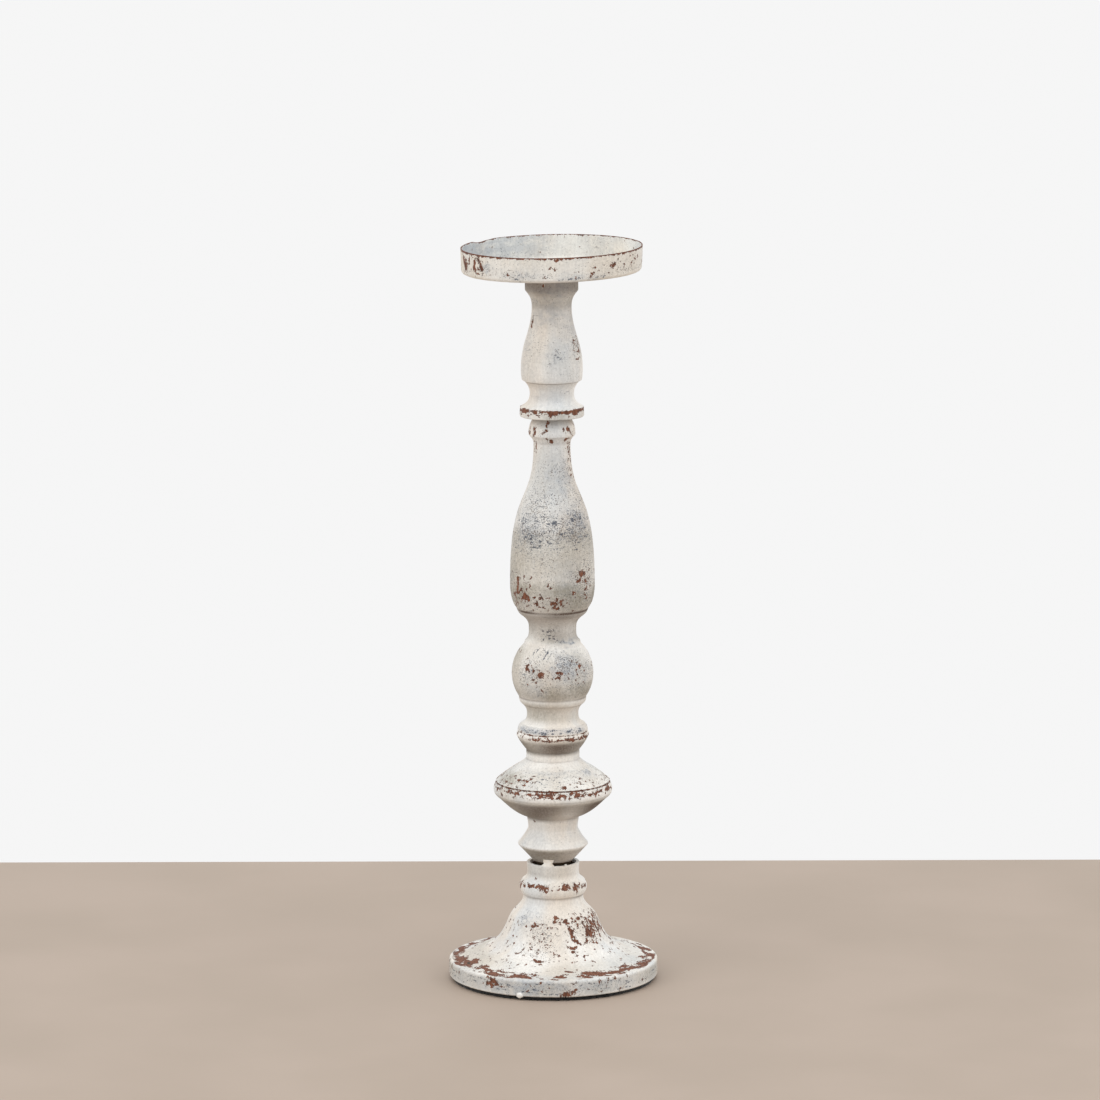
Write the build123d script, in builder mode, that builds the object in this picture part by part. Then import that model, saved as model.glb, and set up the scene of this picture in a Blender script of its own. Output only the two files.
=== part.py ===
"""Turned wooden pillar candlestick with a pressed steel pan.

Three wood turnings stand on one axis: a bell foot, a long main shaft and a short upper spindle. The
shaft's tenon sits in the foot's socket and a long screw pulls it down from below; a dowel joins shaft and
spindle; a screw holds the pan on top. A felt pad covers the underside. Origin: centre of the felt's
underside, +Z up. Sizes are in mm.
"""

import os

from build123d import *

# ---------------------------------------------------------------- driving dimensions
# felt pad
felt_thickness = 2.0
felt_inset = 1.6

# base: foot, skirt, bell, ring and collar, from the bottom up
foot_radius = 59.2
foot_wall_height = 10.0
foot_edge_round = 1.8
foot_bottom_round = 0.8
skirt_radius = 45.0
skirt_rise = 2.6
flare_radius = 33.0
flare_rise = 6.7
bell_waist_radius = 27.2
bell_waist_rise = 8.7
bell_shoulder_radius = 23.3
bell_shoulder_rise = 8.0
bell_brow_radius = 18.2
bell_brow_rise = 5.8
bell_top_radius = 17.0
bell_top_rise = 4.7
base_ring_radius = 19.5
base_ring_height = 9.6
base_ring_top_radius = 16.3
collar_radius = 14.9
collar_waist_radius = 14.7
collar_rise = 3.8
collar_height = 5.3
mouth_radius = 13.0
mouth_floor_radius = 11.0
mouth_depth = 6.5

# main shaft: tenon, cone, disc, ring, sphere, bottle and bead, from the bottom up
tenon_radius = 9.0
tenon_length = 24.0
shaft_lift = 1.0
cone_foot_radius = 11.3
cone_radius = 19.9
cone_height = 9.4
cone_edge = 0.5
cone_neck_radius = 14.0
cone_neck_rise = 9.4
disc_collar_radius = 14.7
disc_collar_height = 7.0
disc_under_radius = 21.5
disc_under_rise = 3.0
disc_flank_radius = 28.8
disc_flank_rise = 6.0
disc_edge_radius = 33.1
disc_edge_rise = 4.3
disc_radius = 33.6
disc_lower_rise = 2.3
disc_upper_rise = 4.3
disc_groove_radius = 32.4
disc_groove_depth = 0.5
disc_groove_width = 0.8
disc_brow_radius = 28.6
disc_brow_rise = 3.5
disc_shoulder_radius = 23.8
disc_shoulder_rise = 3.5
disc_crown_radius = 18.6
disc_crown_rise = 3.3
disc_top_radius = 15.4
disc_top_rise = 2.7
stem_collar_radius = 15.1
stem_collar_height = 4.9
ring_foot_radius = 14.6
ring_radius = 20.5
ring_under_height = 8.8
ring_lip_height = 2.4
ring_groove_radius = 19.9
ring_groove_depth = 0.4
ring_groove_width = 0.6
ring_bead_height = 4.2
ring_bead_radius = 18.2
lower_neck_radius = 14.6
lower_neck_rise = 5.0
lower_neck_height = 1.0
sphere_lip_radius = 18.3
sphere_lip_rise = 6.4
sphere_lip_height = 3.3
sphere_foot_radius = 19.0
sphere_radius = 23.1
sphere_lower_height = 13.5
sphere_upper_height = 16.5
sphere_top_radius = 16.2
sphere_collar_radius = 15.6
sphere_collar_height = 2.0
middle_neck_radius = 13.4
middle_neck_rise = 5.1
middle_neck_height = 2.6
bottle_lip_radius = 18.4
bottle_lip_rise = 7.6
bottle_lip_height = 3.2
bottle_foot_radius = 20.2
bottle_radius = 23.9
bottle_lower_height = 15.0
bottle_upper_height = 78.3
bottle_ease = (0.70, 0.44)
bead_neck_radius = 10.4
bead_radius = 13.1
bead_under_height = 5.3
bead_height = 10.5
bead_top_radius = 9.6

# upper spindle: flange, waist, vase, neck and collar, from the bottom up
flange_radius = 18.1
flange_height = 5.4
flange_round = 0.6
waist_radius = 12.5
waist_lower_rise = 7.3
waist_upper_rise = 7.1
vase_foot_radius = 15.4
vase_step_radius = 16.8
vase_step_rise = 0.7
vase_radius = 17.4
vase_lower_height = 6.9
vase_upper_height = 35.6
vase_ease = (0.44, 0.40)
pan_neck_radius = 11.2
pan_collar_rise = 8.8
pan_collar_radius = 15.0
pan_collar_height = 11.4

# pan: thin pressed sheet with a wall, a floor and a conical dimple at its centre
pan_radius = 51.0
pan_height = 14.2
pan_draft = 0.5
pan_corner_round = 2.2
sheet_thickness = 0.9
dimple_clearance = 0.2
dimple_tip_thickness = 0.6

# fasteners and joints
pan_screw_head_radius = 4.2
pan_screw_radius = 2.0
pan_screw_length = 25.0
base_screw_head_radius = 5.0
base_screw_radius = 2.5
base_screw_length = 55.0
counterbore_radius = 7.0
counterbore_depth = 18.0
thread_pitch = 2.0
thread_depth = 0.5
thread_share = 0.65
screw_tip_length = 5.0
screw_lip = 0.4
screw_cross_share = 0.62
screw_cross_width = 1.2
screw_cross_depth = 1.4
dowel_radius = 5.0
dowel_length = 40.0
dowel_chamfer = 1.0
dowel_flutes = 12
dowel_flute_radius = 0.5
wood_clearance = 0.1
screw_clearance = 0.1
hole_end_gap = 1.0

# filler that bridges the front of the gap between the shaft and the base's collar
filler_angle = 34.0
filler_bearing = -101.0
filler_height = 3.6
filler_setback = 0.5

# ---------------------------------------------------------------- levels along the axis, from the bottom up
base_bottom = felt_thickness
foot_top = base_bottom + foot_wall_height
skirt_top = foot_top + skirt_rise
flare_top = skirt_top + flare_rise
bell_waist = flare_top + bell_waist_rise
bell_shoulder = bell_waist + bell_shoulder_rise
bell_brow = bell_shoulder + bell_brow_rise
bell_top = bell_brow + bell_top_rise
base_ring_top = bell_top + base_ring_height
collar_waist = base_ring_top + collar_rise
base_top = collar_waist + collar_height
mouth_floor = base_top - mouth_depth

shaft_foot = base_top + shaft_lift
tenon_end = shaft_foot - tenon_length
socket_floor = tenon_end - hole_end_gap
cone_edge_level = shaft_foot + cone_height
cone_neck = cone_edge_level + cone_neck_rise
disc_foot = cone_neck + disc_collar_height
disc_under = disc_foot + disc_under_rise
disc_flank = disc_under + disc_flank_rise
disc_edge = disc_flank + disc_edge_rise
disc_widest = disc_edge + disc_lower_rise
disc_groove = disc_widest + disc_upper_rise
disc_brow = disc_groove + disc_brow_rise
disc_shoulder = disc_brow + disc_shoulder_rise
disc_crown = disc_shoulder + disc_crown_rise
disc_top = disc_crown + disc_top_rise
ring_foot = disc_top + stem_collar_height
ring_edge = ring_foot + ring_under_height
ring_groove = ring_edge + ring_lip_height
ring_top = ring_groove + ring_bead_height
lower_neck = ring_top + lower_neck_rise
lower_neck_top = lower_neck + lower_neck_height
sphere_lip = lower_neck_top + sphere_lip_rise
sphere_foot = sphere_lip + sphere_lip_height
sphere_widest = sphere_foot + sphere_lower_height
sphere_top = sphere_widest + sphere_upper_height
sphere_collar = sphere_top + sphere_collar_height
middle_neck = sphere_collar + middle_neck_rise
middle_neck_top = middle_neck + middle_neck_height
bottle_lip = middle_neck_top + bottle_lip_rise
bottle_foot = bottle_lip + bottle_lip_height
bottle_widest = bottle_foot + bottle_lower_height
bead_neck = bottle_widest + bottle_upper_height
bead_widest = bead_neck + bead_under_height
shaft_top = bead_widest + bead_height

flange_top = shaft_top + flange_height
waist = flange_top + waist_lower_rise
vase_foot = waist + waist_upper_rise
vase_widest = vase_foot + vase_lower_height
pan_neck = vase_widest + vase_upper_height
pan_collar = pan_neck + pan_collar_rise
spindle_top = pan_collar + pan_collar_height
pan_floor = spindle_top + sheet_thickness
pan_rim = spindle_top + pan_height

# ---------------------------------------------------------------- sizes that follow from the ones above
base_screw_seat = base_bottom + counterbore_depth
base_screw_tip = base_screw_seat + base_screw_length
pan_screw_seat = pan_floor
pan_screw_tip = pan_screw_seat - pan_screw_length
pan_hole_radius = pan_screw_radius + screw_clearance
dimple_radius = pan_screw_head_radius + screw_lip + dimple_clearance
dimple_tip = pan_floor - (dimple_radius - pan_hole_radius) - dimple_tip_thickness
dimple_under_radius = dimple_radius + (2**0.5 - 1) * sheet_thickness
dimple_tip_radius = dimple_under_radius - (spindle_top - dimple_tip)
filler_start = filler_bearing - filler_angle / 2
filler_top = base_top + filler_height
filler_reach = (filler_top - shaft_foot) * (cone_radius - cone_foot_radius) / cone_height
pan_foot_radius = pan_radius - pan_draft


# ---------------------------------------------------------------- stretches of a turned outline
def ogee(start, end, ease=(0.5, 0.5)):
    """Curve that leaves start and meets end parallel to the axis, each for its share of the height."""
    rise = end[1] - start[1]
    Bezier(start, (start[0], start[1] + ease[0] * rise), (end[0], end[1] - ease[1] * rise), end)


def flare(start, end):
    """Curve that leaves start parallel to the axis and swings out to end at a slant."""
    reach = end[0] - start[0]
    rise = end[1] - start[1]
    Bezier(start, (start[0], start[1] + rise / 2), (end[0] - reach / 2, end[1] - rise / 4), end)


def settle(start, end):
    """Curve that leaves start at a slant and meets end parallel to the axis."""
    reach = end[0] - start[0]
    rise = end[1] - start[1]
    Bezier(start, (start[0] + 2 * reach / 3, start[1] + rise / 5), (end[0], end[1] - rise / 2), end)


def bulge(start, end, height):
    """Arc from start to end whose middle stands out from its chord by height, inwards if negative."""
    chord = Vector(end[0] - start[0], end[1] - start[1])
    middle = Vector((start[0] + end[0]) / 2, (start[1] + end[1]) / 2)
    outward = Vector(chord.Y, -chord.X).normalized()
    ThreePointArc(start, middle + outward * height, end)


def quarter(start, end, side=1):
    """Quarter circle from start to end, which rounds outwards (1) or inwards (-1)."""
    bulge(start, end, side * (0.5**0.5 - 0.5) * (Vector(*end) - Vector(*start)).length)


def groove(radius, level, depth, width):
    """V-shaped groove cut in the side of a turning, its mouth centred on level."""
    Polyline((radius, level - width / 2), (radius - depth, level), (radius, level + width / 2))


def bore(level, radius, depth):
    """Round hole from level, up the axis for a positive depth and down it for a negative one."""
    with BuildSketch(Plane.XY.offset(level)) as mouth:
        Circle(radius)
    extrude(mouth.sketch, amount=depth, mode=Mode.SUBTRACT)


# ---------------------------------------------------------------- fasteners
def wood_screw(seat, direction, head_radius, radius, length):
    """Countersunk cross-head wood screw, head flush with seat and tip up (1) or down (-1) the axis."""
    core = radius - thread_depth
    thread_start = length * (1 - thread_share)
    ridges = int((length - screw_tip_length - thread_start) / thread_pitch)
    outline = [(0, 0), (head_radius, 0), (head_radius, screw_lip), (core, screw_lip + head_radius - core)]
    for ridge in range(ridges):
        root = thread_start + ridge * thread_pitch
        outline += [(core, root), (radius, root + thread_pitch / 2)]
    outline += [(core, length - screw_tip_length), (0, length)]
    with BuildPart() as screw:
        with BuildSketch(Plane.XZ):
            with BuildLine():
                Polyline([(r, seat + direction * depth) for r, depth in outline], close=True)
            make_face()
        revolve(axis=Axis.Z)
        with BuildSketch(Plane.XY.offset(seat)):
            with PolarLocations(0, 2, angular_range=180):
                Rectangle(2 * screw_cross_share * head_radius, screw_cross_width)
        extrude(amount=direction * screw_cross_depth, mode=Mode.SUBTRACT)
    return screw


# ---------------------------------------------------------------- felt pad
with BuildPart() as felt_pad:
    with BuildSketch(Plane.XY):
        Circle(foot_radius - felt_inset)
    extrude(amount=felt_thickness)

# ---------------------------------------------------------------- base
with BuildPart() as base:
    with BuildSketch(Plane.XZ):
        with BuildLine():
            Line((0, base_bottom), (foot_radius - foot_bottom_round, base_bottom))
            Line(
                (foot_radius - foot_bottom_round, base_bottom),
                (foot_radius, base_bottom + foot_bottom_round),
            )
            Line((foot_radius, base_bottom + foot_bottom_round), (foot_radius, foot_top - foot_edge_round))
            quarter((foot_radius, foot_top - foot_edge_round), (foot_radius - foot_edge_round, foot_top))
            Spline(
                (foot_radius - foot_edge_round, foot_top),
                (skirt_radius, skirt_top),
                (flare_radius, flare_top),
                (bell_waist_radius, bell_waist),
                (bell_shoulder_radius, bell_shoulder),
                (bell_brow_radius, bell_brow),
                (bell_top_radius, bell_top),
            )
            bulge(
                (bell_top_radius, bell_top),
                (base_ring_top_radius, base_ring_top),
                base_ring_radius - bell_top_radius,
            )
            settle((base_ring_top_radius, base_ring_top), (collar_waist_radius, collar_waist))
            ogee((collar_waist_radius, collar_waist), (collar_radius, base_top))
            Line((collar_radius, base_top), (0, base_top))
            Line((0, base_top), (0, base_bottom))
        make_face()
    revolve(axis=Axis.Z)
    with BuildSketch(Plane.XY.offset(mouth_floor)):
        Circle(mouth_floor_radius)
    with BuildSketch(Plane.XY.offset(base_top)):
        Circle(mouth_radius)
    loft(mode=Mode.SUBTRACT)
    bore(mouth_floor, tenon_radius + wood_clearance, socket_floor - mouth_floor)
    bore(base_bottom, counterbore_radius, counterbore_depth)
    with Locations(Plane((0, 0, base_screw_seat), z_dir=(0, 0, -1))):
        CounterSinkHole(
            base_screw_radius + screw_clearance,
            base_screw_head_radius + screw_lip + screw_clearance,
            depth=socket_floor - base_screw_seat,
            counter_sink_angle=90,
        )

# ---------------------------------------------------------------- main shaft
with BuildPart() as main_shaft:
    with BuildSketch(Plane.XZ):
        with BuildLine():
            Line((0, tenon_end), (tenon_radius, tenon_end))
            Line((tenon_radius, tenon_end), (tenon_radius, shaft_foot))
            Line((tenon_radius, shaft_foot), (cone_foot_radius, shaft_foot))
            Line((cone_foot_radius, shaft_foot), (cone_radius, cone_edge_level))
            Line((cone_radius, cone_edge_level), (cone_radius, cone_edge_level + cone_edge))
            bulge((cone_radius, cone_edge_level + cone_edge), (cone_neck_radius, cone_neck), -0.4)
            ogee((cone_neck_radius, cone_neck), (disc_collar_radius, disc_foot))
            Spline(
                (disc_collar_radius, disc_foot),
                (disc_under_radius, disc_under),
                (disc_flank_radius, disc_flank),
                (disc_edge_radius, disc_edge),
            )
            bulge((disc_edge_radius, disc_edge), (disc_radius, disc_widest), 0.15)
            bulge((disc_radius, disc_widest), (disc_groove_radius, disc_groove - disc_groove_width / 2), 0.2)
            groove(disc_groove_radius, disc_groove, disc_groove_depth, disc_groove_width)
            Spline(
                (disc_groove_radius, disc_groove + disc_groove_width / 2),
                (disc_brow_radius, disc_brow),
                (disc_shoulder_radius, disc_shoulder),
                (disc_crown_radius, disc_crown),
                (disc_top_radius, disc_top),
            )
            Line((disc_top_radius, disc_top), (stem_collar_radius, disc_top))
            Line((stem_collar_radius, disc_top), (stem_collar_radius, ring_foot))
            Line((stem_collar_radius, ring_foot), (ring_foot_radius, ring_foot))
            bulge((ring_foot_radius, ring_foot), (ring_radius, ring_edge), 0.4)
            bulge((ring_radius, ring_edge), (ring_groove_radius, ring_groove - ring_groove_width / 2), 0.15)
            groove(ring_groove_radius, ring_groove, ring_groove_depth, ring_groove_width)
            bulge(
                (ring_groove_radius, ring_groove + ring_groove_width / 2),
                (ring_bead_radius, ring_top),
                0.5,
            )
            settle((ring_bead_radius, ring_top), (lower_neck_radius, lower_neck))
            Line((lower_neck_radius, lower_neck), (lower_neck_radius, lower_neck_top))
            flare((lower_neck_radius, lower_neck_top), (sphere_lip_radius, sphere_lip))
            bulge((sphere_lip_radius, sphere_lip), (sphere_foot_radius, sphere_foot), 0.3)
            ThreePointArc(
                (sphere_foot_radius, sphere_foot),
                (sphere_radius, sphere_widest),
                (sphere_top_radius, sphere_top),
            )
            Line((sphere_top_radius, sphere_top), (sphere_collar_radius, sphere_collar))
            settle((sphere_collar_radius, sphere_collar), (middle_neck_radius, middle_neck))
            Line((middle_neck_radius, middle_neck), (middle_neck_radius, middle_neck_top))
            flare((middle_neck_radius, middle_neck_top), (bottle_lip_radius, bottle_lip))
            bulge((bottle_lip_radius, bottle_lip), (bottle_foot_radius, bottle_foot), 0.3)
            settle((bottle_foot_radius, bottle_foot), (bottle_radius, bottle_widest))
            ogee((bottle_radius, bottle_widest), (bead_neck_radius, bead_neck), bottle_ease)
            flare((bead_neck_radius, bead_neck), (bead_radius, bead_widest))
            bulge((bead_radius, bead_widest), (bead_top_radius, shaft_top), 1.2)
            Line((bead_top_radius, shaft_top), (0, shaft_top))
            Line((0, shaft_top), (0, tenon_end))
        make_face()
    revolve(axis=Axis.Z)
    bore(tenon_end, base_screw_radius + screw_clearance, base_screw_tip + hole_end_gap - tenon_end)
    bore(shaft_top, dowel_radius + wood_clearance, -(dowel_length / 2 + hole_end_gap))

# ---------------------------------------------------------------- upper spindle
with BuildPart() as upper_spindle:
    with BuildSketch(Plane.XZ):
        with BuildLine():
            Line((0, shaft_top), (flange_radius - flange_round, shaft_top))
            quarter((flange_radius - flange_round, shaft_top), (flange_radius, shaft_top + flange_round))
            Line((flange_radius, shaft_top + flange_round), (flange_radius, flange_top))
            settle((flange_radius, flange_top), (waist_radius, waist))
            flare((waist_radius, waist), (vase_foot_radius, vase_foot))
            Line((vase_foot_radius, vase_foot), (vase_step_radius, vase_foot + vase_step_rise))
            settle((vase_step_radius, vase_foot + vase_step_rise), (vase_radius, vase_widest))
            ogee((vase_radius, vase_widest), (pan_neck_radius, pan_neck), vase_ease)
            flare((pan_neck_radius, pan_neck), (pan_collar_radius, pan_collar))
            Line((pan_collar_radius, pan_collar), (pan_collar_radius, spindle_top))
            Line((pan_collar_radius, spindle_top), (0, spindle_top))
            Line((0, spindle_top), (0, shaft_top))
        make_face()
    revolve(axis=Axis.Z)
    bore(shaft_top, dowel_radius + wood_clearance, dowel_length / 2 + hole_end_gap)
    with Locations((0, 0, spindle_top)):
        CounterSinkHole(
            pan_hole_radius,
            dimple_under_radius + wood_clearance,
            depth=spindle_top - pan_screw_tip + hole_end_gap,
            counter_sink_angle=90,
        )

# ---------------------------------------------------------------- candle pan
with BuildPart() as candle_pan:
    with BuildSketch(Plane.XZ):
        with BuildLine():
            Polyline(
                (pan_foot_radius - pan_corner_round, pan_floor),
                (dimple_radius, pan_floor),
                (pan_hole_radius, dimple_tip + dimple_tip_thickness),
                (pan_hole_radius, dimple_tip),
                (dimple_tip_radius, dimple_tip),
                (dimple_under_radius, spindle_top),
                (pan_foot_radius - pan_corner_round, spindle_top),
            )
            quarter(
                (pan_foot_radius - pan_corner_round, spindle_top),
                (pan_foot_radius, spindle_top + pan_corner_round),
            )
            Polyline(
                (pan_foot_radius, spindle_top + pan_corner_round),
                (pan_radius, pan_rim),
                (pan_radius - sheet_thickness, pan_rim),
                (pan_foot_radius - sheet_thickness, spindle_top + pan_corner_round),
            )
            quarter(
                (pan_foot_radius - sheet_thickness, spindle_top + pan_corner_round),
                (pan_foot_radius - pan_corner_round, pan_floor),
                -1,
            )
        make_face()
    revolve(axis=Axis.Z)

# ---------------------------------------------------------------- dowel, screws and filler
with BuildPart() as upper_dowel:
    with BuildSketch(Plane.XY.offset(shaft_top - dowel_length / 2)):
        Circle(dowel_radius)
    extrude(amount=dowel_length)
    chamfer(upper_dowel.edges().filter_by(GeomType.CIRCLE), dowel_chamfer)
    with BuildSketch(Plane.XY.offset(shaft_top - dowel_length / 2)):
        with PolarLocations(dowel_radius, dowel_flutes):
            Circle(dowel_flute_radius)
    extrude(amount=dowel_length, mode=Mode.SUBTRACT)

pan_screw = wood_screw(pan_screw_seat, -1, pan_screw_head_radius, pan_screw_radius, pan_screw_length)
base_screw = wood_screw(base_screw_seat, 1, base_screw_head_radius, base_screw_radius, base_screw_length)

with BuildPart() as joint_filler:
    with BuildSketch(Plane.XZ.rotated((0, 0, filler_start))):
        with BuildLine():
            Polyline(
                (mouth_radius, base_top),
                (collar_radius - filler_setback, base_top),
                (cone_foot_radius + filler_reach, filler_top),
                (cone_foot_radius, shaft_foot),
                close=True,
            )
        make_face()
    revolve(axis=Axis.Z, revolution_arc=filler_angle)

# ---------------------------------------------------------------- export
pieces = {
    "felt_pad": felt_pad,
    "base": base,
    "base_screw": base_screw,
    "main_shaft": main_shaft,
    "joint_filler": joint_filler,
    "upper_dowel": upper_dowel,
    "upper_spindle": upper_spindle,
    "candle_pan": candle_pan,
    "pan_screw": pan_screw,
}
os.makedirs("parts", exist_ok=True)
for name, piece in pieces.items():
    piece.part.label = name
    export_step(piece.part, f"parts/{name}.step")
    print(f"{name}: {piece.part.volume:.0f} mm3")
print(f"height {pan_rim:.1f} mm, foot {2 * foot_radius:.1f} mm across, pan {2 * pan_radius:.1f} mm across")
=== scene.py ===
import math

import bmesh
import bpy
import numpy as np
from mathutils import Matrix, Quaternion, Vector


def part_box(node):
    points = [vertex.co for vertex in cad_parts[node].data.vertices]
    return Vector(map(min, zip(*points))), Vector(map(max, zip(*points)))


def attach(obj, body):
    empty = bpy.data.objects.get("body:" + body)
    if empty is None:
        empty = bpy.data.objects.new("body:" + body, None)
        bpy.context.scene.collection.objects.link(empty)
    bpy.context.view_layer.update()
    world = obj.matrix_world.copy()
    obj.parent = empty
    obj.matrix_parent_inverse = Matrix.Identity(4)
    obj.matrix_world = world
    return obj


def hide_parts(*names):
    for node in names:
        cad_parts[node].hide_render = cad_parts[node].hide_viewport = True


MM = 0.001
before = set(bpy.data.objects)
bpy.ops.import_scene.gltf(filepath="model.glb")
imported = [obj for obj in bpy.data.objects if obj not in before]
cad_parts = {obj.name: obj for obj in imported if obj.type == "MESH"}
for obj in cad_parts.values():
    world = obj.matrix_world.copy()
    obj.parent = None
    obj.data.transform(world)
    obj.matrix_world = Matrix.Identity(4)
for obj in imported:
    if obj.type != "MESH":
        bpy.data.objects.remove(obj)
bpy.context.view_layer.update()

# Bearings are degrees round the axis from the front (-Y), positive towards +X.
# Lengths and heights are millimetres.


# ------------------------------------------------------------------ noise and outlines
def waves(points, size, seed, count=36):
    """Smooth noise, mostly within -1 and 1, whose bumps are about size across."""
    draw = np.random.default_rng(seed)
    directions = draw.normal(size=(count, 3))
    directions /= np.linalg.norm(directions, axis=1)[:, None]
    directions *= (math.pi / size * draw.uniform(0.6, 1.5, count))[:, None]
    phases = draw.uniform(0, 2 * math.pi, count)
    total = np.zeros(points.shape[:-1])
    for direction, phase in zip(directions, phases):
        total += np.sin(points @ direction + phase)
    return total / math.sqrt(count)


def smooth_step(value, low, high):
    t = np.clip((value - low) / (high - low), 0, 1)
    return t * t * (3 - 2 * t)


def chains_of(node):
    """The runs of (radius, height) corners along the half section of a turned CAD node."""
    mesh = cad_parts[node].data
    corners = np.array([v.co for v in mesh.vertices]) / MM
    on_plane = (np.abs(corners[:, 1]) < 1e-3) & (corners[:, 0] > -1e-3)
    places, index = {}, {}
    for i in np.nonzero(on_plane)[0]:
        key = (round(corners[i, 0], 3), round(corners[i, 2], 3))
        index[i] = places.setdefault(key, len(places))
    near = {i: set() for i in range(len(places))}
    for edge in mesh.edges:
        a, b = (index.get(i) for i in edge.vertices)
        if a is not None and b is not None and a != b:
            near[a].add(b)
            near[b].add(a)
    where = np.array(list(places))
    left, chains = set(near), []
    while left:
        ends = [i for i in left if len(near[i]) == 1]
        at = min(ends or left, key=lambda i: where[i][1])
        chain = [at]
        left.discard(at)
        while near[at] & left:
            at = min(near[at] & left)
            chain.append(at)
            left.discard(at)
        chains.append((where[chain], len(ends) == 0))
    return sorted(chains, key=lambda c: -len(c[0]))


def outline_of(node):
    """One anticlockwise (radius, height) outline of a turned CAD node, and whether it closes on itself."""
    (line, closed), *others = chains_of(node)
    for other, _ in others:
        gaps = [np.linalg.norm(line[i] - other[j]) for i in (0, -1) for j in (0, -1)]
        first, flip = divmod(int(np.argmin(gaps)), 2)
        if first == 0:
            line = np.vstack([other[::-1] if flip == 0 else other, line])
        else:
            line = np.vstack([line, other if flip == 0 else other[::-1]])
    ring = line if closed else np.vstack([[0, line[0, 1]], line, [0, line[-1, 1]]])
    after = np.roll(ring, -1, axis=0)
    if (ring[:, 0] * after[:, 1] - after[:, 0] * ring[:, 1]).sum() < 0:
        line = line[::-1]
    if not closed:
        line = np.vstack([[0, line[0, 1]], line, [0, line[-1, 1]]])
    return line, closed


def curve_through(points, spacing):
    """Points along a smooth curve through points, which keeps corners sharper than 25 degrees."""
    steps = np.diff(points, axis=0)
    headings = np.unwrap(np.arctan2(steps[:, 1], steps[:, 0]))
    turns = np.abs(np.diff(headings))
    stops = [0, *(np.nonzero(turns > math.radians(25))[0] + 1), len(points) - 1]
    pieces = []
    for a, b in zip(stops[:-1], stops[1:]):
        run = points[a : b + 1]
        gaps = np.linalg.norm(np.diff(run, axis=0), axis=1)
        along = np.concatenate([[0], np.cumsum(gaps)])
        slopes = np.diff(run, axis=0) / gaps[:, None]
        tangents = np.vstack([slopes[:1], slopes[-1:]])
        if len(run) > 2:
            before, ahead = gaps[:-1, None], gaps[1:, None]
            inner = (slopes[1:] * before + slopes[:-1] * ahead) / (before + ahead)
            tangents = np.vstack([slopes[:1], inner, slopes[-1:]])
        at = np.linspace(0, along[-1], max(2, int(along[-1] / spacing)), endpoint=False)
        k = np.clip(np.searchsorted(along, at, side="right") - 1, 0, len(gaps) - 1)
        t = ((at - along[k]) / gaps[k])[:, None]
        h = gaps[k][:, None]
        pieces.append(
            (2 * t**3 - 3 * t**2 + 1) * run[k]
            + (t**3 - 2 * t**2 + t) * h * tangents[k]
            + (3 * t**2 - 2 * t**3) * run[k + 1]
            + (t**3 - t**2) * h * tangents[k + 1]
        )
    return np.vstack([*pieces, points[-1:]])


def softened(line, sigma, spacing, closed):
    """The outline with its corners rounded, as paint rounds them."""
    reach = max(1, int(3 * sigma / spacing))
    kernel = np.exp(-0.5 * (np.arange(-reach, reach + 1) * spacing / sigma) ** 2)
    kernel /= kernel.sum()
    padded = np.pad(line, ((reach, reach), (0, 0)), mode="wrap" if closed else "edge")
    return np.stack([np.convolve(padded[:, i], kernel, "valid") for i in (0, 1)], 1)


def place(name, points, faces, material, smooth=True):
    """Makes an object of points and faces, with one material."""
    mesh = bpy.data.meshes.new(name)
    mesh.from_pydata(points, [], faces)
    mesh.polygons.foreach_set("use_smooth", np.full(len(mesh.polygons), smooth))
    mesh.materials.append(material)
    piece = bpy.data.objects.new(name, mesh)
    bpy.context.scene.collection.objects.link(piece)
    return piece


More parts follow.
